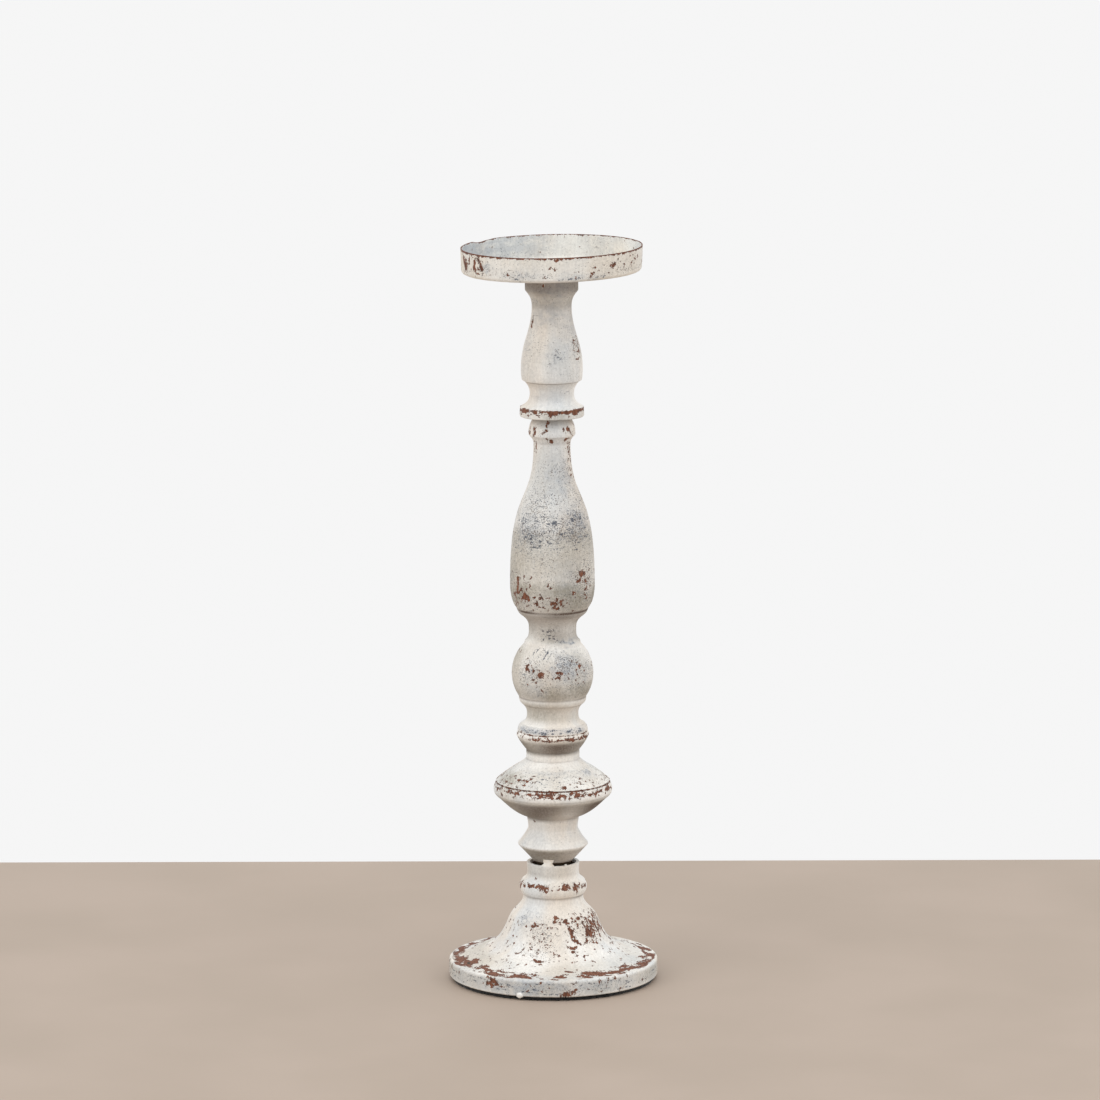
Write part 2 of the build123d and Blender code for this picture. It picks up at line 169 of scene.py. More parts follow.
class Turning:
    """A turned piece: a fine grid of rows along its outline and columns round the axis, with paint fields."""

    def __init__(self, node, rows, columns, painted, soften=0.16, corner=1.2):
        line, closed = outline_of(node)
        if closed:
            line = np.vstack([line, line[:1]])
        spacing = 0.05
        line = curve_through(line, spacing)
        if closed:
            line = line[:-1]
        line = softened(line, soften, spacing, closed)
        low, high = (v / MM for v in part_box(node))
        line = np.stack([np.clip(line[:, 0], 0, high.x), np.clip(line[:, 1], low.z, high.z)], 1)
        self.closed = closed
        step = np.diff(line, axis=0, append=line[:1] if closed else line[-1:])
        length = np.linalg.norm(step, axis=1) + 1e-9
        heading = np.unwrap(np.arctan2(step[:, 1], step[:, 0]))
        bend = np.abs(np.gradient(heading)) / length
        shown = painted(line[:, 0], line[:, 1]).astype(float)
        weight = length * (1 + np.minimum(bend * corner, 3.0)) * (0.1 + 0.9 * shown)
        total = np.concatenate([[0], np.cumsum(weight)])[:-1]
        pick = np.searchsorted(total, np.linspace(0, total[-1], rows, endpoint=not closed))
        pick = np.unique(np.clip(pick, 0, len(line) - 1))
        if not closed and line[0, 0] < 1e-6:
            pick = np.unique(np.concatenate([pick, [0, len(line) - 1]]))
        self.line = line[pick]
        self.run = np.concatenate([[0], np.cumsum(length)])[pick]
        self.shown = shown[pick]
        ahead = np.roll(self.line, -1, axis=0) - np.roll(self.line, 1, axis=0)
        if not closed:
            ahead[0], ahead[-1] = self.line[1] - self.line[0], self.line[-1] - self.line[-2]
        ahead /= np.linalg.norm(ahead, axis=1)[:, None] + 1e-9
        self.outward = np.stack([ahead[:, 1], -ahead[:, 0]], 1)
        self.bearing = np.linspace(-math.pi, math.pi, columns, endpoint=False)
        rows = len(self.line)
        self.shape = (rows, columns)
        self.r = np.repeat(self.line[:, :1], columns, axis=1)
        self.z = np.repeat(self.line[:, 1:], columns, axis=1)
        self.points = self.at(self.r, self.z)
        blank = np.zeros(self.shape)
        self.fields = {"chip": blank - 6, "mark": blank - 6}
        # Two of these fields darken the paint partly for dirt and grime and partly as painted shade.
        self.fields |= {name: blank + 0 for name in ("speck", "film_and_shade", "dirt_and_shade", "shade_and_grime")}
        # Surfaces the paint never reaches are marked 3, which the paint material draws dark: painted shade in
        # hollows such as the collar's mouth.
        self.fields["chip"][self.shown < 0.5] = 3
        self.wobble = [waves(self.points, 2.1, seed) for seed in (3, 4)]
        self.sink = blank + 0

    def at(self, r, z):
        r, z = np.broadcast_arrays(r, z)
        return np.stack([r * np.sin(self.bearing), -r * np.cos(self.bearing), z], -1)

    def row_near(self, height, radius=None):
        """The painted row nearest to a height, or to a radius as well where the surface is nearly level."""
        gap = np.abs(self.line[:, 1] - height) + 50 * (self.shown < 0.5)
        if radius is not None:
            gap = gap + np.abs(self.line[:, 0] - radius)
        return int(np.argmin(gap))

    def window(self, bearing, row, reach):
        """Rows and columns within reach of a place, and their distances across and along from it."""
        across = (self.bearing - math.radians(bearing) + math.pi) % (2 * math.pi) - math.pi
        across = across * max(self.line[row, 0], 1)
        along = self.run - self.run[row]
        if self.closed:
            whole = self.run[-1] + np.linalg.norm(self.line[0] - self.line[-1])
            along = (along + whole / 2) % whole - whole / 2
        rows, columns = np.abs(along) < reach, np.abs(across) < reach
        pick = np.ix_(rows, columns)
        return pick, across[columns][None, :], along[rows][:, None]

    def spots(self, name, places, radius=None):
        """Adds irregular spots: bearing, height, half width, half height and lean of each."""
        for bearing, height, half_width, half_height, lean in places:
            row = self.row_near(height, radius)
            pick, u, v = self.window(bearing, row, max(half_width, half_height) + 3)
            if pick[0].size == 0 or pick[1].size == 0:
                continue
            small = min(half_width, half_height)
            shake = 0.16 + 0.30 * small
            u, v = u + shake * self.wobble[0][pick], v + shake * self.wobble[1][pick]
            turn = math.radians(lean)
            u, v = u * math.cos(turn) - v * math.sin(turn), u * math.sin(turn) + v * math.cos(turn)
            inside = (1 - np.sqrt((u / half_width) ** 2 + (v / half_height) ** 2)) * min(small, 1.2)
            self.fields[name][pick] = np.maximum(self.fields[name][pick], inside)

    def edge(self, height, half, rough, seed, radius=None, name="chip", swell=0, only=None):
        """Wears a line all the way round at one height: half is its mean half width, rough its variation."""
        row = self.row_near(height, radius)
        ring = self.at(np.full((1, len(self.bearing)), self.line[row, 0]), self.line[row, 1])[0]
        width = half + rough * (0.75 * waves(ring, 6, seed) + 0.45 * waves(ring, 2.2, seed + 1))
        if swell:
            width = width + swell * waves(ring, 30, seed + 2)
        if only is not None:
            width = width - 3 * (1 - only(np.degrees(self.bearing)))
        shift = 0.5 * rough * waves(ring, 4, seed + 3)
        pick, _, v = self.window(0, row, 8)
        inside = width[None, :] - np.abs(v - shift[None, :])
        rows = pick[0][:, 0]
        self.fields[name][rows] = np.maximum(self.fields[name][rows], inside)

    def cloud(self, name, places, radius=None):
        """Adds soft patches: bearing, height, half width, half height and strength of each."""
        for bearing, height, half_width, half_height, strength in places:
            row = self.row_near(height, radius)
            pick, u, v = self.window(bearing, row, 2.2 * max(half_width, half_height))
            if pick[0].size == 0 or pick[1].size == 0:
                continue
            u, v = u + 2 * self.wobble[1][pick], v + 1.5 * self.wobble[0][pick]
            value = strength * np.exp(-((u / half_width) ** 2) - (v / half_height) ** 2)
            self.fields[name][pick] = np.maximum(self.fields[name][pick], value)

    def band(self, name, low, high, strength, seed, size=12, fade=3, radius=None):
        """A soft band between two heights, all the way round and unevenly strong."""
        across = smooth_step(self.z, low - fade, low + fade)
        across = across * (1 - smooth_step(self.z, high - fade, high + fade))
        if radius is not None:
            across = across * (self.r > radius)
        value = strength * across * np.clip(1 + 0.45 * waves(self.points, size, seed), 0.2, 1.8)
        self.fields[name] = np.maximum(self.fields[name], value)

    def worn(self, centre, half, amount, seed, size=6, only=None):
        """Wears map-like patches into a level face, about a radius: amount is 0 for half bare."""
        row = self.row_near(centre[1], centre[0])
        pick, _, v = self.window(0, row, 3 * half)
        rows = pick[0][:, 0]
        ring = self.line[row, 0] / 1.9
        turn = self.bearing[None, :] + 0 * v
        points = np.stack([ring * np.sin(turn), -ring * np.cos(turn), v + 0 * turn], -1)
        value = amount + 1.0 * waves(points, size, seed) + 0.55 * waves(points, size / 2, seed + 1)
        value = value - 2.2 * np.maximum(np.abs(v) / half - 0.45, 0) ** 2
        if only is not None:
            value = value - 2.5 * (1 - only(np.degrees(self.bearing)))
        self.fields["chip"][rows] = np.maximum(self.fields["chip"][rows], value)

    def groove_grime_and_shade(self, places):
        """Darkens rings round the turning, at grooves and under ledges: height, half width and strength, all
        the way round. In the grooves it is grime; under lips, the flange and the pan and where parts meet it is
        painted shade.
        """
        for height, half, strength in places:
            row = self.row_near(height)
            ring = self.at(np.full((1, len(self.bearing)), self.line[row, 0]), self.line[row, 1])[0]
            amount = strength * np.clip(1 + 0.35 * waves(ring, 14, int(height * 7)), 0, 1.6)
            pick, _, v = self.window(0, row, 4 * half + 1)
            rows = pick[0][:, 0]
            value = amount[None, :] * np.exp(-((v / half) ** 2))
            self.fields["shade_and_grime"][rows] = np.maximum(self.fields["shade_and_grime"][rows], value)

    def scatter(self, low, high, count, seed, size=(0.35, 1.1), behind=78, radius=None):
        """Random chips in small clusters on the sides and back, between two heights."""
        draw = np.random.default_rng(seed)
        places = []
        while len(places) < count:
            bearing = draw.uniform(behind, 360 - behind)
            height = draw.uniform(low, high)
            for _ in range(draw.integers(1, 6)):
                half = draw.uniform(*size) * draw.uniform(0.6, 1.0)
                places.append(
                    (
                        bearing + draw.normal(0, 4),
                        np.clip(height + draw.normal(0, 2), low, high),
                        half,
                        half * draw.uniform(0.7, 2.2),
                        draw.uniform(-35, 35),
                    )
                )
        self.spots("chip", places, radius)

    def sprinkle(
        self, name, bearings, heights, count, seed, wide=(0.22, 0.5), tall=(0.22, 0.55), lean=35, radius=None
    ):
        """Many small random spots between two bearings and two heights."""
        draw = np.random.default_rng(seed)
        places = [
            tuple(draw.uniform(*limits) for limits in (bearings, heights, wide, tall, (-lean, lean)))
            for _ in range(count)
        ]
        self.spots(name, places, radius)

    def build(self, name, material, strips=1, move=None, wave=0.12):
        """Makes the mesh: the outline turned round the axis and sunk where the paint is gone."""
        rows, columns = self.shape
        chip = smooth_step(self.fields["chip"], -0.25, 0.3) * (self.shown[:, None] > 0.5)
        mark = smooth_step(self.fields["mark"], -0.2, 0.3)
        uneven = 0.5 + 0.25 * waves(self.points, 26, 21) + 0.18 * waves(self.points, 9, 22)
        fine = 0.5 + 0.5 * waves(self.points, 2.6, 23)
        inward = wave * np.clip(uneven, 0, 1) + 0.03 * np.clip(fine, 0, 1)
        inward = inward + 0.16 * chip + 0.05 * mark + self.sink
        inward *= self.shown[:, None]
        r = np.maximum(self.r - inward * self.outward[:, :1], 0)
        z = self.z - inward * self.outward[:, 1:]
        places = self.at(r, z)
        if move is not None:
            places = move(places, r)
        vertices = places.reshape(-1, 3) * MM
        i = np.arange(rows if self.closed else rows - 1)
        j = np.arange(columns)
        low, left = np.meshgrid(i, j, indexing="ij")
        up, right = (low + 1) % rows, (left + 1) % columns
        faces = np.stack(
            [low * columns + left, low * columns + right, up * columns + right, up * columns + left], -1
        ).reshape(-1, 4)
        share = np.diff(self.run, append=self.run[-1] + np.linalg.norm(self.line[0] - self.line[-1]))
        share = share * (0.12 + 0.88 * self.shown)
        total = np.concatenate([[0], np.cumsum(share)])
        level = total / total[-1] * strips
        strip = np.minimum((level[:-1] + level[1:]) / 2, strips - 1e-6).astype(int)
        v0 = np.clip(level[low] - strip[low], 0, 1)
        v1 = np.clip(level[low + 1] - strip[low], 0, 1)
        u0, u1 = (strip[low] + left / columns) / strips, (strip[low] + (left + 1) / columns) / strips
        uv = np.stack([u0, v0, u1, v0, u1, v1, u0, v1], -1).reshape(-1, 8)
        if not self.closed:
            ends = [0, rows - 1]
            collapsed = [row for row in ends if self.line[row, 0] < 1e-6]
            firsts = {row: row * columns for row in collapsed}
            for row in collapsed:
                vertices[row * columns : (row + 1) * columns] = vertices[row * columns]
            faces = [
                list(dict.fromkeys(firsts.get(k // columns, k) for k in face)) for face in faces.tolist()
            ]
            corners = [
                (p, face_uv)
                for face, face_uv in zip(faces, uv.reshape(-1, 4, 2).tolist())
                for p, face_uv in self._corner_uv(face, face_uv, firsts, columns)
            ]
            uv = np.array([c[1] for c in corners])
        else:
            faces = faces.tolist()
            uv = uv.reshape(-1, 2)
        piece = place(name, vertices, faces, material)
        mesh = piece.data
        layer = mesh.uv_layers.new(name="OFBake")
        layer.uv.foreach_set("vector", uv.astype(np.float32).ravel())
        for field, values in self.fields.items():
            attribute = mesh.attributes.new(field, "FLOAT", "POINT")
            attribute.data.foreach_set("value", values.astype(np.float32).ravel())
        self.drop_loose(mesh)
        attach(piece, "root")
        return piece

    @staticmethod
    def _corner_uv(face, face_uv, firsts, columns):
        if len(face) == 4:
            return list(zip(face, face_uv))
        top = face[-1] in firsts.values() or face[2] in firsts.values()
        return list(zip(face, face_uv[:3] if top else [face_uv[0], face_uv[2], face_uv[3]]))

    @staticmethod
    def drop_loose(mesh):
        work = bmesh.new()
        work.from_mesh(mesh)
        bmesh.ops.delete(work, geom=[v for v in work.verts if not v.link_faces], context="VERTS")
        work.to_mesh(mesh)
        work.free()


# ------------------------------------------------------------------ materials
def srgb(red, green, blue):
    """A colour given as 0 to 255 display values, as the shader's linear values."""
    return [*(((c / 255 + 0.055) / 1.055) ** 2.4 if c > 10 else c / 3294.6 for c in (red, green, blue)), 1.0]


class Nodes:
    """Short ways to add the nodes of one material."""

    def __init__(self, name):
        self.material = bpy.data.materials.new(name)
        self.material.use_nodes = True
        self.tree = self.material.node_tree
        self.tree.nodes.clear()
        self.shader = self.tree.nodes.new("ShaderNodeBsdfPrincipled")
        output = self.tree.nodes.new("ShaderNodeOutputMaterial")
        self.tree.links.new(self.shader.outputs[0], output.inputs[0])
        self.place = self.tree.nodes.new("ShaderNodeTexCoord").outputs["Object"]

    def put(self, socket, value):
        if isinstance(value, bpy.types.NodeSocket):
            self.tree.links.new(value, socket)
        else:
            socket.default_value = value

    def math(self, operation, a, b=0.0, c=0.0, clamp=False):
        node = self.tree.nodes.new("ShaderNodeMath")
        node.operation, node.use_clamp = operation, clamp
        for socket, value in zip(node.inputs, (a, b, c)):
            self.put(socket, value)
        return node.outputs[0]

    def field(self, name):
        node = self.tree.nodes.new("ShaderNodeAttribute")
        node.attribute_name = name
        return node.outputs["Fac"]

    def noise(self, size, detail=2.0, stretch=(1, 1, 1), rough=0.5, offset=0.0):
        """Noise whose features are about size millimetres, stretched along the axes."""
        mapping = self.tree.nodes.new("ShaderNodeMapping")
        mapping.inputs["Scale"].default_value = [1 / MM / size / s for s in stretch]
        mapping.inputs["Location"].default_value = (offset, offset * 0.7, offset * 1.3)
        self.put(mapping.inputs["Vector"], self.place)
        node = self.tree.nodes.new("ShaderNodeTexNoise")
        self.put(node.inputs["Vector"], mapping.outputs[0])
        node.inputs["Scale"].default_value = 0.5
        node.inputs["Detail"].default_value = detail
        node.inputs["Roughness"].default_value = rough
        return node.outputs["Fac"]

    def ramp(self, value, low, high, to_low=0.0, to_high=1.0):
        node = self.tree.nodes.new("ShaderNodeMapRange")
        node.interpolation_type = "SMOOTHSTEP"
        names = ("Value", "From Min", "From Max", "To Min", "To Max")
        for name, v in zip(names, (value, low, high, to_low, to_high)):
            self.put(node.inputs[name], v)
        return node.outputs[0]

    def mix(self, share, a, b, kind="MIX"):
        node = self.tree.nodes.new("ShaderNodeMix")
        node.data_type, node.blend_type = "RGBA", kind
        self.put(node.inputs[0], share)
        self.put(node.inputs[6], a)
        self.put(node.inputs[7], b)
        return node.outputs[2]

    def shade(self, colour, share):
        """The colour multiplied by a plain number."""
        node = self.tree.nodes.new("ShaderNodeVectorMath")
        node.operation = "SCALE"
        self.put(node.inputs[0], colour)
        self.put(node.inputs["Scale"], share)
        return node.outputs[0]

    def finish(self, colour, roughness, height=None, depth=0.1, **constants):
        self.put(self.shader.inputs["Base Color"], colour)
        self.put(self.shader.inputs["Roughness"], roughness)
        for name, value in constants.items():
            self.shader.inputs[name.replace("_", " ")].default_value = value
        if height is not None:
            bump = self.tree.nodes.new("ShaderNodeBump")
            bump.inputs["Strength"].default_value = 0.8
            bump.inputs["Distance"].default_value = depth * MM
            self.put(bump.inputs["Height"], height)
            self.put(self.shader.inputs["Normal"], bump.outputs[0])
        return self.material


def paint(name, cream, beige, cool, bare, bare_dark, beige_share=0.62, streak=(1, 1, 5)):
    """Chalk paint over a blue-grey undercoat, speckled, and chipped back to what is bare below it. Some of its
    fields also lay painted shade into the colour, and the raised rims round chips carry a painted highlight.
    """
    n = Nodes(name)
    fine = n.noise(0.36, 3, rough=0.6)
    middle = n.noise(1.1, 2, offset=3)
    shake = n.math("ADD", n.math("MULTIPLY_ADD", fine, 3.0, -1.5), n.math("MULTIPLY_ADD", middle, 2.4, -1.2))
    ragged = n.math("ADD", shake, n.field("chip"))
    chip = n.ramp(ragged, -0.06, 0.10)
    raised_rim_highlight = n.math("SUBTRACT", n.ramp(ragged, -0.55, -0.05), chip, clamp=True)
    mark = n.ramp(n.math("ADD", n.math("MULTIPLY", shake, 0.8), n.field("mark")), -0.05, 0.25)
    speck, film_and_shade = n.field("speck"), n.field("film_and_shade")
    grain = n.noise(0.36, 2, stretch=(1, 1, 0.8), rough=0.65, offset=9)
    dots = n.ramp(n.math("SUBTRACT", grain, n.math("MULTIPLY_ADD", speck, -0.21, 0.70)), 0.0, 0.04)
    strokes = n.noise(0.9, 3, stretch=(4, 4, 0.45), rough=0.6, offset=2)
    dragged = n.ramp(n.math("SUBTRACT", strokes, n.math("MULTIPLY_ADD", speck, -0.13, 0.69)), 0.0, 0.08)
    tall = n.noise(9, 3, stretch=streak, offset=13)
    wide = n.noise(22, 2, offset=17)
    warm = n.math("MULTIPLY", n.ramp(n.math("ADD", tall, wide), 0.84, 1.24), beige_share)
    chill = n.math("MULTIPLY", n.ramp(n.noise(15, 3, stretch=streak, offset=29), 0.48, 0.68), 0.6)
    colour = n.mix(warm, srgb(*cream), srgb(*beige))
    colour = n.mix(chill, colour, srgb(*cool))
    # Warm grey over the paint: partly dirt, partly painted shade on undersides, below lips and on the foot's
    # wall.
    dirt_and_shade_grain = n.ramp(n.noise(0.6, 4, stretch=(1, 1, 1.6), rough=0.65, offset=37), 0.25, 0.75, 0.65, 1.15)
    colour = n.mix(n.math("MULTIPLY", n.field("dirt_and_shade"), dirt_and_shade_grain, clamp=True), colour, srgb(168, 163, 149))
    rubbed = n.noise(1.7, 3, stretch=(1.6, 1.6, 1), offset=41)
    patchy = n.math("MULTIPLY", film_and_shade, n.ramp(rubbed, 0.25, 0.62, 0.35, 1.0))
    colour = n.mix(patchy, colour, srgb(150, 161, 174))
    mottle = n.ramp(n.noise(0.6, 4, rough=0.7, offset=53), 0.28, 0.72, 0.88, 1.05)
    drawn = n.ramp(n.noise(0.55, 3, stretch=(1, 1, 9), offset=57), 0.3, 0.7, 0.95, 1.03)
    colour = n.shade(colour, n.math("MULTIPLY", mottle, drawn))
    inky = n.mix(n.ramp(n.noise(1.2, 1, offset=61), 0.42, 0.60), srgb(74, 84, 100), srgb(88, 72, 62))
    dark = n.math("MAXIMUM", dots, n.math("MULTIPLY", dragged, 0.7))
    colour = n.mix(n.math("MULTIPLY", dark, 0.80), colour, inky)
    colour = n.mix(n.math("MULTIPLY", mark, 0.85), colour, srgb(66, 76, 92))
    # Dark brown: grime in the turned grooves, and painted shade under lips, ledges, the flange and the pan and
    # where parts meet.
    groove_grime_and_shade = n.math("MULTIPLY", n.field("shade_and_grime"), n.ramp(fine, 0.3, 0.6, 0.75, 1.0), clamp=True)
    colour = n.mix(groove_grime_and_shade, colour, srgb(84, 66, 54))
    # The raised paint round each chip is lightened towards white: a painted highlight on its edge.
    colour = n.mix(n.math("MULTIPLY", raised_rim_highlight, 0.4), colour, srgb(240, 236, 228))
    wood_grain = n.ramp(n.noise(0.7, 4, stretch=(1, 1, 5), offset=71), 0.35, 0.68)
    below = n.mix(wood_grain, srgb(*bare), srgb(*bare_dark))
    # Bare wood darker along the rim of each chip: painted shade under the step of the paint.
    below = n.shade(below, n.ramp(ragged, 0.0, 0.4, 0.66, 1.0))
    # Surfaces the paint never reached are dark olive brown: painted shade inside the collar's mouth and the
    # other hollows.
    below = n.mix(n.ramp(n.field("chip"), 2.2, 2.8), below, n.mix(middle, srgb(46, 38, 28), srgb(78, 62, 44)))
    colour = n.mix(chip, colour, below)
    brushed = n.noise(0.9, 3, stretch=(6, 6, 0.5), offset=83)
    thick = n.math("MULTIPLY_ADD", chip, -1.3, n.math("MULTIPLY", raised_rim_highlight, 0.35))
    height = n.math("ADD", thick, n.math("MULTIPLY_ADD", brushed, 0.6, n.math("MULTIPLY", fine, 0.5)))
    height = n.math("MULTIPLY_ADD", dots, -0.35, height)
    chalky = n.ramp(n.noise(4, 2, offset=97), 0.3, 0.7, 0.74, 0.88)
    roughness = n.math("ADD", chalky, n.math("MULTIPLY", chip, -0.14))
    return n.finish(colour, roughness, height, 0.16, Specular_IOR_Level=0.35)


wood_paint = paint(
    "distressed_paint", (248, 246, 241), (230, 218, 203), (217, 223, 227), (134, 86, 64), (88, 54, 40)
)
steel_paint = paint(
    "pan_paint", (245, 243, 237), (232, 222, 207), (214, 219, 222), (134, 84, 62), (90, 55, 41),
    beige_share=0.6, streak=(1, 1, 2.5),
)

n = Nodes("felt")
pile = n.noise(0.7, 4, rough=0.7)
felt_black = n.finish(
    n.mix(n.ramp(pile, 0.35, 0.75), srgb(13, 13, 14), srgb(46, 44, 43)),
    n.ramp(pile, 0.3, 0.7, 0.9, 1.0),
    n.math("ADD", pile, n.noise(2.5, 3, offset=3)),
    0.4,
    Sheen_Weight=0.25,
    Sheen_Roughness=0.6,
    Specular_IOR_Level=0.15,
)
n = Nodes("filler_paint")
lumps = n.noise(1.6, 3)
filler_paint = n.finish(
    n.mix(n.ramp(lumps, 0.35, 0.7), srgb(243, 239, 231), srgb(222, 210, 194)),
    n.ramp(lumps, 0.3, 0.7, 0.68, 0.85),
    lumps,
    0.25,
)
n = Nodes("glue")
glue = n.finish(
    n.mix(n.ramp(n.noise(1.5, 2), 0.4, 0.7), srgb(246, 245, 242), srgb(232, 228, 220)),
    n.ramp(n.noise(1.0, 2, offset=3), 0.3, 0.7, 0.38, 0.55),
    n.noise(0.9, 2, offset=7),
    0.15,
)
n = Nodes("zinc")
turned = n.noise(0.8, 3, stretch=(3, 3, 0.4))
zinc = n.finish(
    n.mix(n.ramp(n.noise(1.8, 3, offset=4), 0.4, 0.66), srgb(176, 172, 158), srgb(120, 112, 98)),
    n.ramp(turned, 0.3, 0.7, 0.32, 0.55),
    turned,
    0.05,
    Metallic=1.0,
)
n = Nodes("beech")
fibre = n.noise(1.0, 4, stretch=(1, 1, 9), rough=0.6)
beech = n.finish(
    n.mix(n.ramp(fibre, 0.35, 0.7), srgb(204, 172, 130), srgb(158, 118, 78)),
    n.ramp(fibre, 0.3, 0.7, 0.6, 0.8),
    fibre,
    0.15,
)

# ------------------------------------------------------------------ base
foot_low, foot_high = (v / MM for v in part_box("base"))
collar_top = foot_high.z
foot_low_z = foot_low.z
base = Turning(
    "base",
    340,
    500,
    lambda r, z: np.where(z > collar_top - 8, r > 12.9, (z > foot_low_z + 0.2) & (r > 14.6)),
)
bell_chips = [
    (-27, 34.6, 1.5, 1.3, -15), (3, 38.7, 1.3, 2.2, 20), (9, 37.2, 0.7, 0.8, 0), (17, 37.4, 1.5, 1.7, 0),
    (37, 38.2, 1.4, 1.7, -30), (32, 36.8, 1.0, 0.8, 0), (23, 30.7, 1.3, 4.4, -5), (21, 23.6, 2.0, 1.5, 0),
    (31, 25.2, 1.0, 0.8, 0), (47, 30.5, 2.4, 4.6, -10), (43, 34.3, 0.8, 1.6, 0), (57, 35.1, 1.1, 2.8, -15),
    (66, 31.6, 1.0, 5.2, -8), (80, 30.1, 0.6, 4.6, -10), (84, 27.0, 0.6, 3.4, -10),
    (61, 37.7, 1.2, 0.8, 0), (79, 37.7, 0.5, 2.6, -30), (54, 23.7, 1.0, 0.8, 30), (-58, 23.5, 0.7, 1.9, 0),
    (-36, 20.3, 2.0, 0.8, -25), (-44, 18.5, 0.7, 0.5, 0), (-13, 17.9, 3.4, 1.1, 5),
    (32, 19.6, 1.8, 0.4, 0), (34, 16.6, 0.8, 0.6, 0), (-26, 25.5, 0.8, 0.6, 0), (22, 19.7, 0.7, 0.6, 0),
]
ring_chips = [
    (-75, 55.4, 0.75, 2.10, 0), (-62, 55.0, 1.50, 1.20, -30), (-48, 55.6, 1.20, 1.35, 0),
    (-40, 55.9, 2.10, 1.35, 0), (-25, 56.0, 2.10, 1.35, 0), (-16, 55.4, 2.85, 1.80, -20),
    (-9, 55.3, 1.35, 1.80, 0), (22, 55.8, 3.15, 1.50, -8), (40, 54.9, 3.30, 2.25, -15),
    (60, 54.4, 0.90, 0.90, 0), (71, 54.9, 0.75, 1.20, 0), (45, 51.5, 0.75, 0.90, 0),
    (-42, 59.2, 0.60, 0.60, 0),
]
wall_chips = [
    (-36, 8.3, 3.50, 2.88, -8), (-29, 7.0, 1.62, 0.56, 0), (7, 4.0, 2.75, 1.88, -25),
    (12, 6.3, 0.88, 1.50, 20), (10, 4.8, 0.75, 0.88, 0), (-64, 9.3, 0.56, 1.62, 15),
    (31, 10.2, 0.75, 1.50, 15), (26, 10.2, 0.50, 1.00, 0), (11, 10.6, 1.75, 0.50, 0),
    (-6, 5.5, 0.62, 0.50, 0), (36, 11.0, 0.75, 1.75, 0), (45, 10.8, 0.62, 1.50, 0),
    (58, 5.6, 0.75, 1.12, -20), (-7, 10.4, 0.50, 0.50, 0),
]
bell_chips += [
    (13, 38.4, 1.2, 0.8, 0), (28, 38.6, 1.0, 0.8, 0), (33, 35.0, 0.7, 1.4, -10), (51, 37.0, 1.0, 1.2, -20),
    (40, 26.5, 1.0, 2.0, -10), (49, 25.0, 1.0, 1.0, 0), (26, 27.3, 1.0, 2.3, -5), (20, 21.3, 1.4, 1.1, 0),
    (70, 36.6, 0.7, 2.6, -15), (74, 32.6, 0.6, 3.4, -8), (52, 33.0, 0.6, 2.6, -12),
    (62, 30.0, 0.6, 2.2, -8), (43, 38.6, 1.3, 0.7, 10), (56, 27.5, 0.8, 1.2, -10),
]
base.spots("chip", bell_chips)
for patch in [
    ("chip", (8, 88), (24, 41), 70, 101, (0.2, 0.45), (0.2, 0.6)),
    ("chip", (-30, 6), (17.5, 36), 110, 103, (0.16, 0.32), (0.16, 0.34)),
    ("chip", (-90, -32), (15, 36), 40, 105, (0.22, 0.4), (0.22, 0.6)),
    ("chip", (10, 90), (13.6, 22), 50, 107, (0.2, 0.4), (0.2, 0.4)),
    ("chip", (-90, 10), (13.0, 17), 50, 109, (0.2, 0.4), (0.2, 0.4)),
    ("chip", (-88, 88), (54.0, 57.0), 26, 111, (0.2, 0.45), (0.2, 0.45)),
    ("chip", (-88, 88), (3, 11), 40, 113, (0.16, 0.3), (0.16, 0.3)),
    ("chip", (88, 272), (16, 42), 260, 115),
    ("chip", (88, 272), (3, 11), 60, 117, (0.2, 0.45), (0.2, 0.45)),
    ("chip", (88, 272), (54, 57), 70, 119, (0.25, 0.7), (0.25, 0.6)),
    ("mark", (-75, 75), (4, 10), 46, 121, (1.0, 3.6), (0.14, 0.24), 4),
    ("mark", (105, 255), (4, 10), 46, 123, (1.0, 3.6), (0.14, 0.24), 4),
    ("chip", (46, 84), (27, 38), 30, 127, (0.35, 0.7), (1.2, 3.0), 14),
]:
    base.sprinkle(*patch)
base.spots("chip", ring_chips)
base.spots("chip", wall_chips)
for patch in [
    (19, 40, 60, 5, (0.4, 1.5)),
    (3.5, 11, 26, 6, (0.4, 1.4)),
    (53.5, 56.5, 26, 7, (0.6, 1.8)),
]:
    base.scatter(*patch)


def worn_rim(bearing):
    """How much of the foot's upper edge is bare: less at a few stretches."""
    kept = 0.55 * np.exp(-(((bearing - 13) / 5) ** 2)) + 0.5 * np.exp(-(((bearing + 61) / 5) ** 2))
    kept = kept + 0.45 * np.exp(-(((bearing + 8) / 4) ** 2)) + 0.3 * np.exp(-(((bearing - 130) / 25) ** 2))
    return 1 - np.clip(kept, 0, 1)


base.worn((53.9, 12.8), 3.2, 0.45, 31, 3.6, worn_rim)
base.worn((51.0, 13.2), 4.5, -0.75, 33, 2.6)
base.worn((51.5, 13.0), 4.4, 0.35, 34, 3.8, lambda bearing: 0.2 + 0.8 * np.exp(-(((bearing + 66) / 22) ** 2)))
base.worn((52.6, 13.0), 3.4, 0.25, 38, 3.2, lambda bearing: np.exp(-(((bearing - 26) / 15) ** 2)))
base.edge(12.1, -0.45, 0.9, 35, radius=56.5, swell=0.5, only=worn_rim)
base.edge(55.6, -0.75, 1.1, 37, swell=0.5, only=lambda bearing: 1 - 0.3 * np.exp(-(((bearing - 2) / 9) ** 2)))
